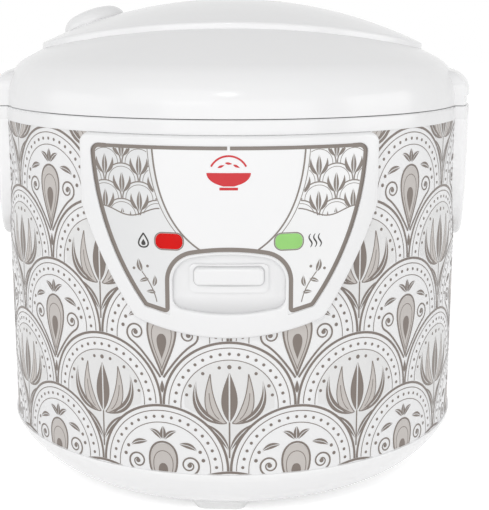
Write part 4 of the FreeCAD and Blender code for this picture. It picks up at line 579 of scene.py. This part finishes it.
for side, up, lean in ((-3.6, 10.7, 20), (0.0, 12.1, -8), (3.7, 10.8, -24)):
    heart = np.array([side, BOWL_FOOT + up])
    tip = GRAIN_REACH * np.array([np.cos(np.radians(lean)), np.sin(np.radians(lean))])
    bowl_sign += leaf(heart - tip, heart, heart + tip, 1.1)
sign_red = moulded("sign_red", (0.62, 0.012, 0.02), 0.3, ripple=0.02, cloud=0.05)
print_or_painted_shadow("bowl_sign", quads(bowl_sign) * MM, on_film(SIGN_LIFT), sign_red, "cooker_body")

upside_down = np.array([1.0, -1.0])
flame = teardrop(3.4, 3.5, 0.0) * upside_down + np.array([FLAME_SIDE, SIGN_LEVEL])
lamp_signs = ribbon(flame[::-1], SIGN_LINE)
lamp_signs += [0.45 * grid * upside_down + np.array([FLAME_SIDE, SIGN_LEVEL - 1.0])
               for grid in filled_drop(3.4, 3.5, 0.0)]
wave = np.linspace(0, 1, 21)
for offset in (-2.3, 0.0, 2.3):
    sway = STEAM_SIDE + offset + 0.75 * np.sin(2 * np.pi * wave)
    steam = np.stack([sway, STEAM_FOOT + 6.6 * wave], axis=1)
    lamp_signs += ribbon(steam, SIGN_LINE * np.sin(np.pi * (0.12 + 0.76 * wave)))
sign_ink = moulded("sign_ink", (0.04, 0.037, 0.035), 0.3, ripple=0.02, cloud=0.1)
print_or_painted_shadow("lamp_signs", quads(lamp_signs) * MM, on_film(INK_LIFT), sign_ink, "cooker_body")


def soft_oblong(middle, half_width, half_height, radius):
    """A closed line round an oblong: four quarter circles set out from the middle, with straight runs."""
    straight = (half_width - radius, half_height - radius)
    turns = [arc(np.array(middle) + np.array(straight) * quarter, radius, first, first + 90, 11)
             for first, quarter in ((0, (1, 1)), (90, (-1, 1)), (180, (-1, -1)), (270, (1, -1)))]
    runs = [np.linspace(turns[place][-1], turns[place - 3][0], 9)[1:-1] for place in range(4)]
    return np.concatenate([stretch for pair in zip(turns, runs) for stretch in pair] + [turns[0][:1]])


lens_edge = soft_oblong((LENS_SIDE, SIGN_LEVEL), LENS_HALF_WIDTH + LENS_LINE_GAP,
                        LENS_HALF_HEIGHT + LENS_LINE_GAP, LENS_LINE_RADIUS)
lens_cells = quads(both_sides(ribbon(lens_edge, 0.55))) * MM
print_or_painted_shadow("lens_outlines", lens_cells, on_film(INK_LIFT), film_ink, "cooker_body")

# Indicator lenses, lamps and board: tinted acrylic windows pushed through the film from behind.
# A neon lamp stands behind each of them on a green laminate board.


def tinted(name, colour):
    """Tinted acrylic: a clear gloss over an even colour, with the faint flow of the moulding in it."""
    material, tree, shader, place = blank_finish(name)
    shader.inputs["Specular IOR Level"].default_value = 0.15
    flow = noise(tree, place, 120.0)
    coloured(tree, shader, flow, toned(colour, 0.93), toned(colour, 1.05))
    glossed(tree, shader, flow, 0.12, 0.20)
    return material


skin("cook_lens", tinted("red_acrylic", (0.67, 0.004, 0.003)))
skin("warm_lens", tinted("green_acrylic", (0.33, 0.67, 0.205)))
lamp_glass = moulded("lamp_glass", (0.85, 0.80, 0.75), 0.08, ripple=0.02)
lamp_glass.node_tree.nodes["Principled BSDF"].inputs["Transmission Weight"].default_value = 0.85
for node in ("cook_lamp", "warm_lamp"):
    skin(node, lamp_glass)
skin("indicator_board", moulded("board_laminate", (0.05, 0.22, 0.08), 0.4, ripple=0.08, cloud=0.2))

# Lever housing and cook lever: the recess under the film's arch, and the lever that rides in its slot.
# Both are white polypropylene; a thumb presses the bar down, and the plate behind it hides the slot.
PLATE_RADIUS = 0.13335
SHADOW_LINE_MIDDLE = (0, 135.55)
SHADOW_LINE_HALF_WIDTH = 17.05
SHADOW_LINE_HALF_HEIGHT = 4.8
SHADOW_LINE_RADIUS = 2.85
PAINTED_SHADE_HEIGHTS = (0.1172, 0.1250)
RECESS_PAINTED_SHADE = (0.65, 0.65, 0.655)
RECESS_WHITE = (0.86, 0.86, 0.865)
# The housing's colour goes from white to grey towards the bottom of the recess: this is painted shade, standing in
# for the shade that falls in the recess's lower part.
skin("lever_housing", faded("recess_shade_paint", RECESS_PAINTED_SHADE, RECESS_WHITE, "Z", *PAINTED_SHADE_HEIGHTS))
skin("cook_lever", white_gloss)
# A dark loop round the foot of the lever's bar, on the plate behind it, is a painted shadow line: a flat grey band
# for the shade where the bar meets the plate.
lever_shadow_paint = moulded("lever_shadow_paint", (0.58, 0.58, 0.585), 0.45, ripple=0.02)
shadow_line_path = soft_oblong(SHADOW_LINE_MIDDLE, SHADOW_LINE_HALF_WIDTH, SHADOW_LINE_HALF_HEIGHT, SHADOW_LINE_RADIUS)
shadow_line_cells = quads(ribbon(shadow_line_path, 0.5)) * MM
print_or_painted_shadow("lever_painted_shadow_line", shadow_line_cells, on_film(SCREEN_LIFT, PLATE_RADIUS), lever_shadow_paint,
        "cook_lever")

# Lid: a domed cover with an oval top plate, its inner cover screwed on below, a silicone seal and an
# aluminium inner plate on a rubber grommet.
# It turns on a steel pin in the collar's lugs, helped by a spring.
for node in ("lid_cover", "lid_top_plate", "lid_inner_cover"):
    skin(node, white_gloss)
milky_silicone = moulded("milky_silicone", (0.72, 0.72, 0.70), 0.45, ripple=0.06, cloud=0.04)
for node in ("lid_seal", "plate_grommet", "steam_tube"):
    skin(node, milky_silicone)
skin("inner_lid_plate", spun_aluminium)
for node in ("hinge_pin", "hinge_spring", "lid_screws"):
    skin(node, plated_steel)

# Steam cap: a slotted white dome over a plug that pushes into the lid's steam tube.
# It pulls off by hand for washing, and a soft white lip under its rim closes the gap to the lid.
RIM_SLACK = 2e-5
# Each point of the lip's section is a radius and a height from the cap's rim.
LIP = np.array([(18.1, 0.0), (18.2, -0.3), (18.1, -0.7), (17.7, -0.84), (17.3, -0.7), (17.2, 0.0)]) * MM
LIP_STEPS = 96
for node in ("steam_cap", "steam_cap_base"):
    skin(node, white_gloss)


def lower_rim(node, axis):
    """The middle of a node's lower rim: half way between the extremes of its lowest points on an axis."""
    vertices = frame["nodes"][node].data.vertices
    points = np.empty(3 * len(vertices))
    vertices.foreach_get("co", points)
    points = points.reshape(-1, 3)
    level = points @ axis
    rim = points[level < level.min() + RIM_SLACK]
    return (rim.min(axis=0) + rim.max(axis=0)) / 2


def turned(name, section, foot, axis, count):
    """A closed ring: each point of a section goes round an axis on a circle, at its radius and height."""
    across = np.cross(axis, (0, 1, 0))
    across = across / np.linalg.norm(across)
    turn = np.linspace(0, 2 * np.pi, count, endpoint=False)[:, None]
    spokes = np.cos(turn) * across + np.sin(turn) * np.cross(axis, across)
    points = foot + spokes[:, None] * section[None, :, :1] + axis * section[None, :, 1:]
    number = np.arange(count * len(section)).reshape(count, len(section))
    beside, above = np.roll(number, -1, axis=0), np.roll(number, -1, axis=1)
    faces = np.stack([number, above, np.roll(above, -1, axis=0), beside], axis=2).reshape(-1, 4)
    mesh = bpy.data.meshes.new(name)
    mesh.from_pydata(points.reshape(-1, 3).tolist(), [], faces.tolist())
    return mesh


cap_axis = np.array(joint_of["steam_cap_lift"]["axis"])
lip_ring = turned("cap_lip", LIP, lower_rim("steam_cap", cap_axis), cap_axis, LIP_STEPS)
set_down(lip_ring, white_gloss, "steam_cap", PRINT_WELD, ALL_SMOOTH)

# Power inlet: a black socket in the back of the shell, with three brass contacts for a mains cord's plug.
# It snaps into the window of the shell from outside.
skin("power_inlet", black_plastic)
skin("inlet_contacts", metal("contact_brass", (0.66, 0.53, 0.26), 0.28, (1, 20, 1), 0.05))

# Floor, light and camera: a white studio sweep under soft boxes at the front and on both sides.
# The camera stands where the photograph was taken from, and looks slightly down.
CAMERA_DISTANCE = 0.6474
CAMERA_HEIGHT = 0.2564
CAMERA_TILT = 12.12
CAMERA_AZIMUTH = 0.78
CAMERA_PAN = 0.63
CAMERA_LENS = 77.5
FLOOR_REACH = 6.0
FLOOR_WHITE = (0.92, 0.92, 0.92, 1)
camera_data = bpy.data.cameras.new("camera")
camera_data.lens = CAMERA_LENS
camera = bpy.data.objects.new("camera", camera_data)
bpy.context.scene.collection.objects.link(camera)
azimuth = np.radians(CAMERA_AZIMUTH)
camera.location = (CAMERA_DISTANCE * np.sin(azimuth), -CAMERA_DISTANCE * np.cos(azimuth), CAMERA_HEIGHT)
camera.rotation_euler = (np.radians(90 - CAMERA_TILT), 0, np.radians(CAMERA_AZIMUTH - CAMERA_PAN))
bpy.context.scene.camera = camera
bpy.context.scene.view_settings.view_transform = "Standard"


def soft_box(name, place, aim, width, height, power):
    """An area lamp of a width and a height that faces a point."""
    light = bpy.data.lights.new(name, "AREA")
    light.shape = "RECTANGLE"
    light.size = width
    light.size_y = height
    light.energy = power
    thing = bpy.data.objects.new(name, light)
    thing.location = place
    way = np.array(aim) - np.array(place)
    flat = np.hypot(way[0], way[1])
    thing.rotation_euler = (np.pi / 2 + np.arctan2(way[2], flat), 0, np.arctan2(-way[0], way[1]))
    bpy.context.scene.collection.objects.link(thing)


soft_box("front_light", (0.1, -1.8, 0.40), (0, 0, 0.06), 2.6, 0.76, 7.3)
soft_box("key_light", (-0.9, -1.6, 1.0), (0, 0, 0.14), 1.6, 1.2, 5)
soft_box("left_light", (-1.9, -0.5, 0.45), (0, 0, 0.08), 1.4, 0.8, 3.3)
soft_box("right_light", (1.9, -0.5, 0.45), (0, 0, 0.08), 1.4, 0.8, 5.6)
soft_box("glint_light", (-0.04, -1.5, 1.1), (0, 0, 0.2), 0.10, 0.10, 1.2)


def looked_at(tree, otherwise, seen):
    """A strength with one value for light on the object, and another where camera, gloss or glass looks."""
    rays = tree.nodes.new("ShaderNodeLightPath")
    value = tree.nodes.new("ShaderNodeMapRange")
    value.inputs["To Min"].default_value = otherwise
    value.inputs["To Max"].default_value = seen
    signal = rays.outputs["Is Camera Ray"]
    for kind in ("Is Glossy Ray", "Is Transmission Ray"):
        either = tree.nodes.new("ShaderNodeMath")
        either.operation = "MAXIMUM"
        tree.links.new(signal, either.inputs[0])
        tree.links.new(rays.outputs[kind], either.inputs[1])
        signal = either.outputs["Value"]
    tree.links.new(signal, value.inputs["Value"])
    return value.outputs["Result"]


floor_mesh = bpy.data.meshes.new("floor")
floor_corners = [(-FLOOR_REACH, -FLOOR_REACH, 0), (FLOOR_REACH, -FLOOR_REACH, 0),
                 (FLOOR_REACH, FLOOR_REACH, 0), (-FLOOR_REACH, FLOOR_REACH, 0)]
floor_mesh.from_pydata(floor_corners, [], [(0, 1, 2, 3)])
floor = bpy.data.objects.new("floor", floor_mesh)
bpy.context.scene.collection.objects.link(floor)
paper = bpy.data.materials.new("floor_paper")
paper.use_nodes = True
paper_shader = paper.node_tree.nodes["Principled BSDF"]
paper_shader.inputs["Base Color"].default_value = FLOOR_WHITE
paper_shader.inputs["Roughness"].default_value = 0.9
paper_shader.inputs["Emission Color"].default_value = (1, 1, 1, 1)
paper_glow = looked_at(paper.node_tree, 0.0, 0.46)
paper.node_tree.links.new(paper_glow, paper_shader.inputs["Emission Strength"])
floor_mesh.materials.append(paper)

world = bpy.data.worlds.new("studio")
world.use_nodes = True
sky = world.node_tree.nodes["Background"]
sky.inputs["Color"].default_value = (1, 1, 1, 1)
world.node_tree.links.new(looked_at(world.node_tree, 0.56, 1.0), sky.inputs["Strength"])
bpy.context.scene.world = world
